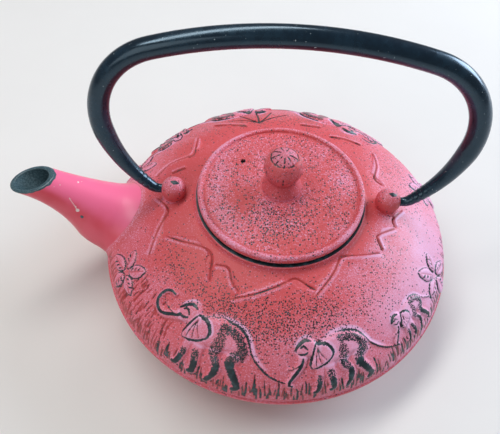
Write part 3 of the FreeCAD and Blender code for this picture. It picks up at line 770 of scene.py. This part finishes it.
def leaf(window, turn, length):
    """Pointed leaf from the window's middle, with a worn outline and a broken rib."""
    way = np.array([math.cos(math.radians(turn)), math.sin(math.radians(turn))])
    side = np.array([-way[1], way[0]]) * 0.25 * length
    outline = [
        way * length * 0.14,
        way * length * 0.42 + side,
        way * length * 0.75 + side * 0.85,
        way * length,
        way * length * 0.75 - side * 0.85,
        way * length * 0.42 - side,
    ]
    window.patch(outline, 1.0, edge=1.1)
    window.ink(outline, 0.5, 0.72, closed=True)
    window.groove([way * length * 0.15, way * length * 0.9], 0.4, 0.3)
    for step in (0.3, 0.48, 0.66):
        start = way * length * step + side * 0.15
        window.ink([start, start + way * length * 0.1 + side * 0.45], 0.55, 0.9)


# Leaf clusters: angle from +X, length up to the middle, turn of the first leaf
LEAVES = ((-153.4, 19.2, -18), (-19.4, 16.9, 50), (18, 17, 20), (160, 18, 30), (138, 17, 0), (52, 18, 64))


def leaf_cluster(relief, middle, foot, turn):
    window = Window(relief, middle, foot, 18)
    for index in range(5):
        leaf(window, turn + 72 * index, 13.5 if index % 2 else 12.0)


REED_ANGLES = (-149.0, -126.0)
REED_COUNT = 75


def blade(relief, middle, foot, tall, dark, rng):
    """Cut blade of grass, left out where a figure stands."""
    window = Window(relief, middle, foot, 2.2)
    lean = rng.uniform(-0.8, 0.8)
    stem = smooth_line([(0, 0), (lean * 0.3, tall * 0.5), (lean, tall)], steps=3)
    gap, place = distance_to(window.points, stem)
    open_ground = rise(0.7, 0.2, relief.height[:, window.columns])
    cut = bell(gap / (0.6 - 0.25 * place)) * open_ground
    window.cut(cut, 0.4)
    window.lay("iron", dark * rise(0.25, 0.75, cut))


def grass(relief, rng):
    """Blades all round the lower edge of the shoulder, and reeds between the spout and the first elephant."""
    for step in np.arange(-180, 180, 0.72):
        worn = 1 - 0.65 * bell(wrapped(step - REED_ANGLES[0]) / 24)
        middle = step + rng.uniform(-0.3, 0.3)
        foot, tall = rng.uniform(1.2, 7), rng.uniform(3, 10)
        blade(relief, middle, foot, tall, worn * rng.uniform(0.4, 1.0), rng)
    for _ in range(REED_COUNT):
        middle = rng.uniform(*REED_ANGLES)
        foot, tall = rng.uniform(6, 27), rng.uniform(2.5, 5)
        blade(relief, middle, foot, tall, rng.uniform(0.1, 0.6), rng)


# Outlines of far hills round the upper shoulder: (angle from +X, length up from the rim)
RIDGES = (
    [(-157.8, 46.2), (-149, 54), (-138.2, 61.2), (-131, 61), (-126, 55), (-122, 48.7)],
    [(-127, 58.2), (-120.4, 60.8), (-116.8, 59.5), (-112.7, 55), (-107.4, 51.8)],
    [(-112.7, 46.4), (-101.5, 52.9), (-89.5, 58.9), (-80.2, 62.4), (-74, 58), (-69.2, 54.2)],
    [(-73.7, 50.8), (-59, 59.5), (-49.9, 64.4), (-45.9, 63.8), (-35.9, 57.4), (-27.8, 50.5)],
    [(-27.8, 50.5), (-22.7, 56.2), (-19.9, 56.2), (-11.2, 47.8)],
    [(-11.2, 47.8), (-6.6, 50.2), (1.4, 43)],
    [(39, 41.5), (29, 48.5), (20, 55.5), (14, 51)],
    [(61, 55), (53, 49), (44.5, 43)],
    [(80, 51.5), (67.5, 47.5)],
    [(125, 37), (118, 46), (110, 52.5)],
    [(178.5, 42), (-172, 51), (-166, 48.5), (-161.6, 44.5), (-151.5, 34.1)],
    [(168, 37), (159, 43), (151.5, 51.5), (146, 51.5), (135, 41)],
    [(165, 47.5), (160, 55)],
)
# Place in that list of the one whose line is black
BLACK_RIDGE = 2


def ridges(relief):
    """Cut hill outlines; the ground below each stands a little proud of what is behind it, with painted shade
    in the cut and a painted highlight on the step below.
    """
    grit = lumps(relief.points, 0.9)
    drift = lumps(relief.points, 9.0)
    for index, line in enumerate(RIDGES):
        angles, lengths = np.array(line, float).T
        corners = shoulder_point(np.degrees(np.unwrap(np.radians(angles))), lengths)
        gap, place = distance_to(relief.points, smooth_line(corners, steps=4))
        ends = np.minimum(rise(0, 0.08, place), rise(1, 0.92, place))
        nearest = np.interp(place, np.linspace(0, 1, len(lengths)), lengths)
        below = relief.length[:, None] < nearest
        relief.height += np.where(below, 0.8 * np.exp(-gap / 3.2), -0.2 * np.exp(-gap / 2.0)) * ends
        width = (0.42 + 0.16 * drift) * (0.4 + 0.6 * ends)
        relief.height -= 0.7 * bell(gap / width) * ends
        # Painted shade in the cut line.
        relief.lay("deep", 0.95 * bell(gap / (1.5 * width)) * ends)
        dark = (1 - rise(0.5, 1.1, gap / width + 0.3 * grit)) * rise(-0.35, 0.15, drift)
        relief.lay("iron", (0.95 if index == BLACK_RIDGE else 0.55) * dark * ends)
        # Painted highlight along the proud ground just below the line.
        relief.lay("pale", 0.55 * bell((gap - 1.4) / 0.7) * below * ends)


BLOSSOM_ANGLE = 103.0
BLOSSOM_RAYS = ((-15, 38), (-8, 33), (-1, 31), (7, 34), (13, 40))


def blossom(relief):
    """Rising rays behind the lid, on the side away from the camera."""
    for spread, top in BLOSSOM_RAYS:
        angles = BLOSSOM_ANGLE + spread * np.array([0.0, 0.6, 1.0])
        corners = shoulder_point(angles, np.array([50.0, 43.0, top]))
        gap = distance_to(relief.points, smooth_line(corners, steps=4))[0]
        relief.height -= 0.5 * bell(gap / 0.55)
        # Painted shade in the rays' grooves.
        relief.lay("deep", bell(gap / 0.9))
        relief.lay("iron", 0.9 * (1 - rise(0.3, 0.65, gap)))


# Places where black specks show through the paint: angle, length up, spread in degrees, spread up, share
SPECKLED = (
    (-93, 40, 24, 11, 1.1),
    (-75, 44, 16, 9, 0.7),
    (-112, 46, 12, 8, 0.5),
    (-138, 44, 14, 8, 0.6),
    (-44, 42, 20, 11, 0.35),
    (90, 42, 40, 12, 0.4),
    (20, 30, 20, 10, 0.25),
)


def speckle_field(relief):
    """How thickly black specks show through the shoulder's paint."""
    field = np.full(relief.points.shape[:2], 0.04)
    for middle, level, spread, depth, share in SPECKLED:
        across = wrapped(relief.angle - middle) / spread
        field += share * bell(across) * bell((relief.length[:, None] - level) / depth)
    return np.clip(field, 0, 1) * rise(0.9, 0.2, relief.height)


def pale_and_sheen_field(relief):
    """How pale the brushed paint is: palest low on the shoulder, plain red under the lid, with a painted
    sheen towards +X where the light falls.
    """
    low = 0.32 * rise(50, 30, relief.length)[:, None]
    # Painted sheen on the side towards +X.
    right = 0.6 * bell(wrapped(relief.angle + 20) / 48) * rise(64, 54, relief.length)[:, None]
    return low + right


SHOULDER_SPLIT = 40.0
COVE = 1.2


def make_relief(angle, length):
    """Relief of one band of the shoulder, pressed out of its plain form."""
    relief = Relief(angle, length)
    for turn in (0, 180):
        for middle, foot, scale, trunk, tusk in HERD:
            elephant(Window(relief, middle + turn, foot, 42, scale), trunk, tusk)
    for middle, foot, turn in LEAVES:
        leaf_cluster(relief, middle, foot, turn)
    ridges(relief)
    blossom(relief)
    grass(relief, np.random.default_rng(7))
    relief.height += 0.05 * lumps(relief.points, 1.3)
    relief.height *= (rise(0, 1.5, length) * rise(SHOULDER_LENGTH, SHOULDER_LENGTH - 3, length))[:, None]
    to_spout = spout_distance(relief.points, np.linspace(0, 1.6, 33), SPOUT_RADII)
    clear = rise(1.0, 6.0, to_spout)
    for layer in (relief.height, relief.iron, relief.deep):
        layer *= clear
    # Pale layer: the field above with its painted sheen, and paler raised relief.
    relief.pale += pale_and_sheen_field(relief) + 0.3 * rise(0.5, 1.1, relief.height)
    relief.lay("pale", 0.5 * rise(3.0, 1.0, np.abs(to_spout)))
    # Painted shade in recesses below the plain form and near the collar.
    relief.deep += 0.25 * rise(-0.1, -0.5, relief.height) + 0.2 * rise(61, 64.5, length)[:, None]
    relief.speckle = speckle_field(relief) * clear
    relief.height += fillet(to_spout)
    relief.points = pushed(relief.points, relief.height)
    return relief


def make_band(name, relief, plain, plain_first, **plain_layers):
    """One band of the shoulder, joined to a plain turned band below or above it."""
    def joined(rows, plain_rows):
        return np.concatenate((plain_rows, rows) if plain_first else (rows, plain_rows))

    layers = {}
    for layer, value in plain_layers.items():
        layers[layer] = joined(getattr(relief, layer), np.broadcast_to(value, plain.shape[:2]))
    piece = skin(name, joined(relief.points, plain), **layers)
    dress(piece, "pot", POT_PAINT, "painted_iron", "pot_shoulder")


def make_lower_shoulder():
    """Parting rim and the lower shoulder with its figures."""
    angle = np.linspace(-180, 180, 1150, endpoint=False)
    relief = make_relief(angle, np.linspace(0, SHOULDER_SPLIT, 74))
    round_edge = 0.4
    reach = SHOULDER_RADIUS + RIM_REACH - round_edge
    rim = turned([
        run((SHOULDER_RADIUS, RIM_LEVEL), (reach, RIM_LEVEL), 2),
        arc((reach, RIM_LEVEL + round_edge), round_edge, -90, 0, 4),
        arc((reach, RIM_TOP - round_edge), round_edge, 0, 90, 4),
    ], len(angle))
    # The plain rim band takes an even painted shade.
    make_band("shoulder_lower", relief, rim, True, iron=0.0, speckle=0.05, deep=0.3, pale=0.3)


def make_upper_shoulder():
    """Upper shoulder with its hills, and the mouth's collar, bare black iron on top under the lid, partly as
    painted shade for the gap there.
    """
    angle = np.linspace(-180, 180, 900, endpoint=False)
    relief = make_relief(angle, np.linspace(SHOULDER_SPLIT, SHOULDER_LENGTH - COVE, 56))
    foot = float(shoulder_at(SHOULDER_LENGTH - COVE)[1])
    round_edge = 0.7
    collar = turned([
        [(COLLAR_RADIUS + 0.35, foot + 0.75), (COLLAR_RADIUS, foot + 1.6)],
        run((COLLAR_RADIUS, foot + 2.0), (COLLAR_RADIUS, COLLAR_TOP - round_edge), 2),
        arc((COLLAR_RADIUS - round_edge, COLLAR_TOP - round_edge), round_edge, 0, 90, 5),
        run((COLLAR_RADIUS - 1.4, COLLAR_TOP), (MOUTH_RADIUS + 0.5, COLLAR_TOP), 4),
        arc((MOUTH_RADIUS + 0.5, COLLAR_TOP - 0.5), 0.5, 90, 180, 4),
    ], len(angle))
    # Bare black iron on the collar's top, partly painted shade for the gap under the lid.
    bare = rise(COLLAR_RADIUS - 0.35, COLLAR_RADIUS - 0.65, from_axis(collar))
    # The plain collar takes an even painted shade.
    make_band("shoulder_upper", relief, collar, False, iron=bare, speckle=0.03, deep=0.25, pale=0.2)


def make_bowl():
    """Flat base and lower bowl, up to the parting rim."""
    start = math.degrees(math.atan2(BASE_HEIGHT - BOWL_MIDDLE[1], BASE_RADIUS - BOWL_MIDDLE[0]))
    end = math.degrees(math.atan2(RIM_LEVEL - BOWL_MIDDLE[1], SHOULDER_RADIUS - BOWL_MIDDLE[0]))
    points = turned([
        run((0.0, 0.0), (BASE_RADIUS - 0.8, 0.0), 14),
        arc((BASE_RADIUS - 0.8, 0.8), 0.8, -90, 0, 5),
        run((BASE_RADIUS, 1.2), (BASE_RADIUS, BASE_HEIGHT), 3),
        arc(BOWL_MIDDLE, BOWL_CURVE, start, end, 56),
    ], 360)
    level = points[..., 2]
    points = pushed(points, 0.12 * lumps(points, 2.2) * rise(3.5, 6, level))
    piece = skin(
        "bowl_casting", points,
        iron=0.75 * rise(0.9, 0.05, level),
        speckle=0.35 + 0.25 * lumps(points, 25),
        # Painted shade: darker all over, most just under the rim.
        deep=0.35 + 0.3 * rise(25, 28, level),
        pale=0.1,
    )
    join_poles(piece)
    dress(piece, "pot", POT_PAINT, "painted_iron", "pot_bowl")


NEAR_SPOUT = -60.0


def make_lining():
    """Inside of the pot, from its mouth down to its floor, open where the spout leaves it."""
    inner = BOWL_CURVE - WALL
    girth = math.degrees(math.asin((RIM_LEVEL - BOWL_MIDDLE[1]) / inner))
    under = math.degrees(math.acos((MOUTH_RADIUS - CROWN_MIDDLE[0]) / (CROWN - WALL)))
    points = turned([
        run((MOUTH_RADIUS, COLLAR_TOP - 0.5), (MOUTH_RADIUS, COLLAR_TOP - 5), 4),
        arc(CROWN_MIDDLE, CROWN - WALL, under, BEND_ANGLE, 40),
        arc(BEND_MIDDLE, BEND - WALL, BEND_ANGLE, 0, 10)[1:],
        arc(BOWL_MIDDLE, inner, girth, -90, 40),
        run((BOWL_MIDDLE[0] - 2, BOWL_MIDDLE[1] - inner), (0, BOWL_MIDDLE[1] - inner), 8),
    ], 300)
    points = pushed(points, 0.1 * lumps(points, 2.5))
    piece = skin("pot_lining", points)
    mesh = bmesh.new()
    mesh.from_mesh(piece.data)
    middles = np.array([face.calc_center_median() for face in mesh.faces]) / MM
    to_channel = spout_distance(middles, np.linspace(1.0, 2.0, 6), CHANNEL_RADII)
    in_channel = (middles[:, 0] < NEAR_SPOUT) & (to_channel < -0.3)
    channel = [face for face, inside in zip(mesh.faces, in_channel) if inside]
    bmesh.ops.delete(mesh, geom=channel, context="FACES")
    mesh.to_mesh(piece.data)
    mesh.free()
    dress(piece, "pot", POT_LINING, "painted_iron", "pot_bowl", "pot_shoulder")


# Ears: balls on flared feet that hold the bail's ends

EAR_DISTANCE = 56.0
EAR_LEVEL = 69.0
EAR_RADIUS = 6.5
EAR_FOOT = -10.5
EAR_BORE = 2.36
DENT = 2.5


def make_ear(side):
    """Ear on one side, dented where the bail's end goes in and worn on top."""
    points = turned([
        [(9.2, EAR_FOOT), (8.0, EAR_FOOT + 1.2), (6.9, EAR_FOOT + 2.6)],
        run((6.2, EAR_FOOT + 4.0), (5.6, -3.6), 3),
        arc((0, 0), EAR_RADIUS, -30, 89.5, 40),
    ], 96)
    ball = points[..., 2] > -4
    points = points * (1 + 0.006 * lumps(points, 2.6))[..., None]
    bore = np.hypot(points[..., 1], points[..., 2])
    outer = side * points[..., 0] > 3
    points[..., 0] -= side * DENT * outer * rise(EAR_BORE + 0.25, EAR_BORE - 0.3, bore)
    grit = lumps(points, 1.6)
    top = np.hypot(points[..., 0] - 1.2, (points[..., 1] + 0.6) * 1.9) + 0.9 * grit
    iron = rise(2.6, 1.7, top) * (points[..., 2] > 3)
    ring = outer * rise(EAR_BORE + 1.1, EAR_BORE + 0.3, bore)
    points = points + np.array([side * EAR_DISTANCE, 0, EAR_LEVEL])
    piece = skin(
        f"ear_{'right' if side > 0 else 'left'}", points,
        iron=np.maximum(iron, ring),
        speckle=0.12,
        # Painted shade on the lower half of the ball; a painted highlight on its top, and paler on the foot.
        deep=0.1 + 0.4 * ball * rise(3, -4, points[..., 2] - EAR_LEVEL),
        pale=0.45 * (1 - ball) + 0.5 * rise(1, 6, points[..., 2] - EAR_LEVEL),
    )
    join_poles(piece)
    dress(piece, "pot", POT_PAINT, "painted_iron", "pot_shoulder")


# Lid: dished disc with a rim bead and a coarse sandy face

LID_RADIUS = 43.0
LID_UNDER = 71.0
LID_EDGE_TOP = 74.0
LID_BEAD = 3.0
SEAT_RADIUS = 11.5
SEAT_LEVEL = 76.4
RING_OUT = 32.8
RING_IN = 30.2
RING_FOOT = 66.0
VENT_RADIUS = 1.15
VENT_DISTANCE = 26.2
VENT_ANGLE = 142.0
LID_INNER_EDGE = LID_RADIUS - LID_BEAD
SCREW_ROOM = 2.4
# Places where black specks show on the lid: angle from +X, distance out, spread, share
LID_SPECKS = ((-90, 23, 13, 0.75), (-150, 22, 8, 0.35), (70, 22, 9, 0.4), (-25, 26, 10, 0.35))


def lid_face(radius):
    """Height of the lid's gently domed face."""
    climb = SEAT_LEVEL - LID_EDGE_TOP
    curve = ((LID_INNER_EDGE - SEAT_RADIUS) ** 2 + climb ** 2) / (2 * climb)
    return SEAT_LEVEL - curve + np.sqrt(curve ** 2 - (radius - SEAT_RADIUS) ** 2)


def lid_outline():
    """Runs of the lid's outline from its screw hole below to the knob's seat, and which rows are its face."""
    under = np.concatenate([
        run((SCREW_ROOM, LID_UNDER), (RING_IN - 0.6, LID_UNDER), 12),
        run((RING_IN, LID_UNDER - 0.5), (RING_IN, RING_FOOT + 0.4), 4),
        run((RING_IN + 0.4, RING_FOOT), (RING_OUT - 0.4, RING_FOOT), 3),
        run((RING_OUT, RING_FOOT + 0.4), (RING_OUT, LID_UNDER - 0.5), 4),
        run((RING_OUT + 0.6, LID_UNDER), (LID_RADIUS - 0.6, LID_UNDER), 6),
    ])
    edge = np.concatenate([
        arc((LID_RADIUS - 0.6, LID_UNDER + 0.6), 0.6, -90, 0, 5),
        run((LID_RADIUS, LID_UNDER + 0.9), (LID_RADIUS, LID_EDGE_TOP), 4),
        arc((LID_RADIUS - LID_BEAD / 2, LID_EDGE_TOP + 0.02), LID_BEAD / 2, 0, 175, 16),
    ])
    radii = np.linspace(LID_INNER_EDGE - 0.25, SEAT_RADIUS, 78)
    top = np.stack([radii, lid_face(radii)], axis=-1)
    seat = run((SEAT_RADIUS - 0.5, SEAT_LEVEL), (SCREW_ROOM, SEAT_LEVEL), 6)
    is_top = np.repeat([False, True, False], [len(under) + len(edge), len(top), len(seat)])
    return [under, edge, top, seat], is_top[:, None]


def from_place(points, degrees, distance):
    """Distance of points, seen from above, to a place at an angle and a distance from the axis."""
    way = math.radians(degrees)
    return np.hypot(points[..., 0] - distance * math.cos(way), points[..., 1] - distance * math.sin(way))


def make_lid():
    """Lid with a sandy face, a vent hole and black specks."""
    outline, is_top = lid_outline()
    points = turned(outline, 620)
    radius = from_axis(points)
    sand = np.clip(lumps(points, 0.62) + 0.55 * lumps(points + 31.0, 1.15), -0.9, 0.9)
    sandy = is_top * rise(LID_INNER_EDGE - 0.2, LID_INNER_EDGE - 2.2, radius)
    sandy = sandy * rise(SEAT_RADIUS - 0.4, SEAT_RADIUS + 1, radius)
    points[..., 2] += 0.34 * sand * sandy + 0.06 * lumps(points, 5.0) * is_top
    to_vent = from_place(points, VENT_ANGLE, VENT_DISTANCE)
    vent = is_top & (to_vent < VENT_RADIUS + 0.15)
    points[..., 2] -= 3.2 * vent * rise(VENT_RADIUS + 0.15, VENT_RADIUS - 0.25, to_vent)
    patches = lumps(points, 13)
    speckle = 0.16 + 0.3 * patches
    for degrees, distance, spread, share in LID_SPECKS:
        speckle = speckle + share * bell(from_place(points, degrees, distance) / spread)
    speckle = np.clip(speckle, 0, 1)
    pits = rise(0.0, -0.5, sand) * sandy
    # Painted highlight on the bead.
    on_bead = rise(LID_INNER_EDGE, LID_INNER_EDGE + 1.5, radius) * (points[..., 2] > LID_EDGE_TOP)
    turn = turn_of(points)
    # Painted sheen near the edge on the side towards the spout.
    towards_spout = bell(wrapped(turn - 200) / math.sqrt(3000))
    pale = 0.12 + 0.35 * patches + 0.4 * rise(0.0, 0.6, sand) * sandy + 0.4 * on_bead
    pale = pale + 0.25 * bell((radius - 33) / 6) * towards_spout
    # Black bare iron under the lid's edge, partly painted shade for the gap over the collar.
    beneath = (points[..., 2] < LID_UNDER + 0.7) & ~is_top
    piece = skin(
        "lid_casting", points,
        iron=np.where(beneath, 0.9, np.maximum(0.45 * pits * speckle, vent)),
        speckle=speckle * sandy + 0.12,
        # Painted shade just inside the bead.
        deep=0.5 * is_top * rise(LID_INNER_EDGE - 2.0, LID_INNER_EDGE - 0.4, radius),
        pale=np.where(beneath, 0, pale),
    )
    dress(piece, "lid", LID_PAINT, "painted_iron", "lid")


# Knob: bud on a flared foot, with a rosette on its cap and petals round its sides

KNOB_ROSETTE = 9
KNOB_PETALS = 6
# Outline of its foot and sides: radius, height above the lid's seat
KNOB_SIDE = (
    (10.3, 0.0), (10.3, 1.0), (9.9, 1.9), (8.7, 4.0), (7.8, 6.6), (7.6, 8.5),
    (8.3, 10.2), (9.2, 12.4), (9.7, 15.0), (9.4, 17.6), (8.4, 20.2), (7.2, 21.6), (6.55, 22.15),
)
CAP_RADIUS = 6.3
CAP_LEVEL = 22.3
CAP_HEIGHT = 2.3


def make_knob():
    """Knob with creases and scallops on its cap, and cut petals with ribs round its sides."""
    side = smooth_line(KNOB_SIDE, steps=7)
    dome = np.sin(np.linspace(0, math.pi / 2, 26))
    cap = np.stack([np.linspace(CAP_RADIUS, 0.0, 26), CAP_LEVEL + CAP_HEIGHT * dome], axis=-1)
    points = turned([side + (0, SEAT_LEVEL), cap + (0, SEAT_LEVEL)], 216)
    radius = from_axis(points)
    level = points[..., 2] - SEAT_LEVEL
    turn = turn_of(points) + 90
    on_cap = np.arange(len(points))[:, None] >= len(side)
    sector = 360 / KNOB_ROSETTE
    off = np.abs(wrapped(turn, sector)) * np.radians(1) * radius
    crease = bell(off / 0.42) * rise(1.2, 3.0, radius) * on_cap
    scallop = on_cap * 0.35 * np.cos(np.radians(turn * KNOB_ROSETTE)) * rise(0.5, 4.5, radius)
    ring = bell((level - 22.0) / 0.35)
    petal = 360 / KNOB_PETALS
    phase = np.abs(wrapped(turn, petal)) / (petal / 2)
    arch = 9.6 + 9.5 * np.clip(1 - phase ** 2.2, 0, 1)
    petal_line = bell((level - arch) / 0.5) * rise(9.0, 10.2, level) * ~on_cap
    from_rib = phase * petal / 2 * np.radians(1) * radius
    rib = bell(from_rib / 0.35) * rise(9.6, 11, level) * rise(17.5, 15.5, level) * ~on_cap
    grit = lumps(points, 1.2)
    cut = 0.5 * crease + 0.4 * ring + 0.32 * petal_line + 0.2 * rib
    points = pushed(points, 0.4 * scallop - cut + 0.03 * grit)
    marks = np.maximum.reduce([crease * 0.95, ring * 0.6, petal_line * 0.35, rib * 0.95])
    iron = 1.3 * marks * rise(-0.5, 0.0, grit)
    piece = skin(
        "knob_casting", points,
        iron=iron,
        speckle=0.1 + 0.1 * grit,
        # Painted shade round the waist; below, painted highlights on the cap and the foot.
        deep=0.6 * rise(5.5, 8, level) * rise(11, 9, level),
        pale=0.12 + 0.45 * on_cap + 0.4 * rise(1.8, 0.5, level),
    )
    join_poles(piece)
    dress(piece, "lid", POT_PAINT, "painted_iron", "lid_knob")


# Bail: enamelled tube from ear to ear, thin and crimped at its ends

BAIL_LEAN = 10.6
BAIL_START = EAR_DISTANCE + EAR_RADIUS + 0.4
BAIL_HALF_WIDTH = 88.0
BAIL_RADIUS = 5.0
BAIL_FOOT = 2.8
BAIL_PIN = 2.3
BAIL_ARCS = {"end": (0.0, 42.0), "arm": (42.0, 75.0), "corner": (75.0, 164.5), "grip": (164.5, 180.0)}
END_CURVE = 6.5
CORNER_CURVE = 37.0


def bail_line():
    """Middle line of the bail's right half from its ear to the top, upright, and the tube's radius on it."""
    sines = {name: np.sin(np.radians(angles)) for name, angles in BAIL_ARCS.items()}
    arm_start = BAIL_START + END_CURVE * sines["end"][1]
    arm_end = BAIL_HALF_WIDTH - CORNER_CURVE * (1 - sines["corner"][0])
    arm_curve = (arm_end - arm_start) / (sines["arm"][1] - sines["arm"][0])
    curves = {"end": END_CURVE, "arm": arm_curve, "corner": CORNER_CURVE}
    widths = {"end": (BAIL_PIN, BAIL_FOOT), "arm": (BAIL_FOOT, BAIL_RADIUS)}
    place = np.array([BAIL_START, 0.0])
    points, radii = [np.array([EAR_DISTANCE + 2.0, 0.0])], [BAIL_PIN]
    for name, (start, end) in BAIL_ARCS.items():
        curve = curves.get(name) or place[0] / sines[name][0]
        steps = max(6, int(curve * math.radians(end - start) / 0.9))
        angle = np.radians(np.linspace(start, end, steps))
        way = np.stack([np.sin(angle) - math.sin(angle[0]), math.cos(angle[0]) - np.cos(angle)], axis=-1)
        first, last = widths.get(name, (BAIL_RADIUS, BAIL_RADIUS))
        width = np.linspace(first, last, steps)
        skip = 1 if len(points) > 1 else 0
        points.extend((place + curve * way)[skip:])
        radii.extend(width[skip:])
        place = place + curve * way[-1]
    return np.array(points), np.array(radii)


def make_bail():
    """Round tube along its leaning middle line, faintly crimped near its ends."""
    half, radii = bail_line()
    line = np.concatenate([half, (half * (-1, 1))[-2::-1]])
    radii = np.concatenate([radii, radii[-2::-1]])
    lengths = np.concatenate([[0], np.cumsum(np.linalg.norm(np.diff(line, axis=0), axis=1))])
    heading = np.gradient(line, axis=0)
    heading /= np.linalg.norm(heading, axis=1, keepdims=True)
    outward = np.stack([heading[:, 1], -heading[:, 0]], axis=-1)
    turn = np.linspace(0, 2 * math.pi, 56, endpoint=False)
    from_end = np.minimum(lengths, lengths[-1] - lengths)
    crimp = 0.16 * bell((from_end - 15) / 5) * np.sin(from_end * 2.1)
    radius = (radii + crimp)[:, None]
    flat = outward[:, None, :] * (radius * np.cos(turn))[..., None] + line[:, None, :]
    x, y, z = flat[..., 0], radius * np.sin(turn), flat[..., 1]
    lean = math.radians(BAIL_LEAN)
    leaning_y = y * math.cos(lean) + z * math.sin(lean)
    leaning_z = z * math.cos(lean) - y * math.sin(lean) + EAR_LEVEL
    piece = skin("bail_handle", xyz(x, leaning_y, leaning_z)[:, ::-1])
    dress(piece, "bail", ENAMEL, "black_enamel", "bail_tube", "bail_end_left", "bail_end_right")


# Infuser: sleeve with fine round holes; its other pieces are the solids themselves

INFUSER_TOP = 69.8
INFUSER_FOOT = 27.8
SLEEVE_TOP = 34.2
SLEEVE_FOOT = 31.5
SHEET = 0.5
PLAIN_FOOT = 5.0
PLAIN_TOP = 8.5
HOLE_COLUMNS = 96
HOLE_ROWS = 14
# Eight points round a cell and round its hole, from the lower left, in shares of the cell
CELL = ((-0.5, -0.5), (0, -0.5), (0.5, -0.5), (0.5, 0), (0.5, 0.5), (0, 0.5), (-0.5, 0.5), (-0.5, 0))
HOLE = arc((0, 0), 0.3, 225, 540, 8)


def make_sleeve():
    """Tapered sleeve: plain bands at its ends, and cells with a round hole each between them."""
    low, high = INFUSER_FOOT + PLAIN_FOOT, INFUSER_TOP - PLAIN_TOP
    mesh = bmesh.new()

    def vertex(column, level):
        share = (level - INFUSER_FOOT) / (INFUSER_TOP - INFUSER_FOOT)
        radius = SLEEVE_FOOT + (SLEEVE_TOP - SLEEVE_FOOT) * share - SHEET
        angle = 2 * math.pi * column / HOLE_COLUMNS
        return mesh.verts.new((radius * math.cos(angle) * MM, radius * math.sin(angle) * MM, level * MM))

    tall = (high - low) / HOLE_ROWS
    for column in range(HOLE_COLUMNS):
        for row in range(HOLE_ROWS):
            middle = low + (row + 0.5) * tall
            outer = [vertex(column + x, middle + y * tall) for x, y in CELL]
            inner = [vertex(column + x, middle + y * tall) for x, y in HOLE]
            for index in range(8):
                after = (index + 1) % 8
                mesh.faces.new((outer[index], outer[after], inner[after], inner[index]))
        for start, end in ((INFUSER_FOOT, low), (high, INFUSER_TOP)):
            for x in (-0.5, 0):
                mesh.faces.new((
                    vertex(column + x, start), vertex(column + x + 0.5, start),
                    vertex(column + x + 0.5, end), vertex(column + x, end),
                ))
    bmesh.ops.remove_doubles(mesh, verts=mesh.verts, dist=2e-6)
    bmesh.ops.recalc_face_normals(mesh, faces=mesh.faces)
    data = bpy.data.meshes.new("infuser_sleeve")
    mesh.to_mesh(data)
    mesh.free()
    data.shade_smooth()
    piece = put_in_scene("infuser_sleeve", data)
    shell = piece.modifiers.new("sheet", "SOLIDIFY")
    shell.thickness = SHEET * MM
    shell.offset = 1.0
    dress(piece, "infuser", STEEL, "stainless_steel", "infuser_wall")


make_bowl()
make_lower_shoulder()
make_upper_shoulder()
make_lining()
make_spout()
for ear_side in (-1, 1):
    make_ear(ear_side)
make_lid()
make_knob()
make_bail()
make_sleeve()
for node in ("infuser_rim", "infuser_base", "infuser_base_ring"):
    paint(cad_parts[node], STEEL)
for node in ("knob_screw", "knob_washer"):
    paint(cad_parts[node], PLATED)


# Floor, light and camera

FLOOR_REACH = 3.0
LAMP_TARGET = (0, 0, 0.06)
# Lamps: name, place, width and height, power, colour
LAMPS = (
    ("window", (1.0, 0.5, 0.5), (0.7, 0.6), 14.0, (0.74, 0.85, 1.0)),
    ("overhead", (-0.3, 0.25, 1.05), (1.2, 0.25), 8.2, (1.0, 0.98, 0.96)),
    ("front_fill", (-0.7, -0.9, 0.7), (0.8, 0.8), 2.6, (1.0, 0.97, 0.94)),
)


def make_floor():
    mesh = bpy.data.meshes.new("floor")
    corners = [(x * FLOOR_REACH, y * FLOOR_REACH, 0) for x, y in ((-1, -1), (1, -1), (1, 1), (-1, 1))]
    mesh.from_pydata(corners, [], [(0, 1, 2, 3)])
    floor = put_in_scene("floor", mesh)
    nodes = Nodes("floor_paper")
    tone = nodes.noise(60, detail=3)
    nodes.set(Base_Color=nodes.mix(tone, (0.78, 0.765, 0.745), (0.82, 0.81, 0.79)), Roughness=0.85)
    mesh.materials.append(nodes.material)


def area_light(name, place, size, power, colour):
    data = bpy.data.lights.new(name, "AREA")
    data.shape = "RECTANGLE"
    data.size, data.size_y = size
    data.energy = power
    data.color = colour
    lamp = put_in_scene(name, data)
    lamp.location = place
    lamp.rotation_euler = (Vector(LAMP_TARGET) - Vector(place)).to_track_quat("-Z", "Y").to_euler()


def make_light():
    world = bpy.data.worlds.new("studio")
    bpy.context.scene.world = world
    world.use_nodes = True
    sky = world.node_tree.nodes["Background"]
    sky.inputs["Color"].default_value = (0.90, 0.93, 0.97, 1)
    sky.inputs["Strength"].default_value = 0.2
    for lamp in LAMPS:
        area_light(*lamp)


# Camera as fitted to the photograph: place in metres, angles in degrees, focal length in pixels
CAMERA_PLACE = (-0.01167, -0.17274, 0.29228)
CAMERA_TILT = 54.79
CAMERA_ROLL = 2.22
CAMERA_YAW = 1.26
CAMERA_FOCUS = 540.0
IMAGE_WIDTH = 500


def make_camera():
    data = bpy.data.cameras.new("camera")
    data.sensor_width = 36.0
    data.lens = CAMERA_FOCUS / IMAGE_WIDTH * data.sensor_width
    data.clip_start = 0.01
    camera = put_in_scene("camera", data)
    look = Matrix.Rotation(math.radians(CAMERA_YAW), 4, "Z")
    look = look @ Matrix.Rotation(math.radians(90 - CAMERA_TILT), 4, "X")
    look = look @ Matrix.Rotation(math.radians(CAMERA_ROLL), 4, "Z")
    camera.matrix_world = Matrix.Translation(CAMERA_PLACE) @ look
    bpy.context.scene.camera = camera


make_floor()
make_light()
make_camera()
bpy.context.scene.view_settings.view_transform = "Standard"
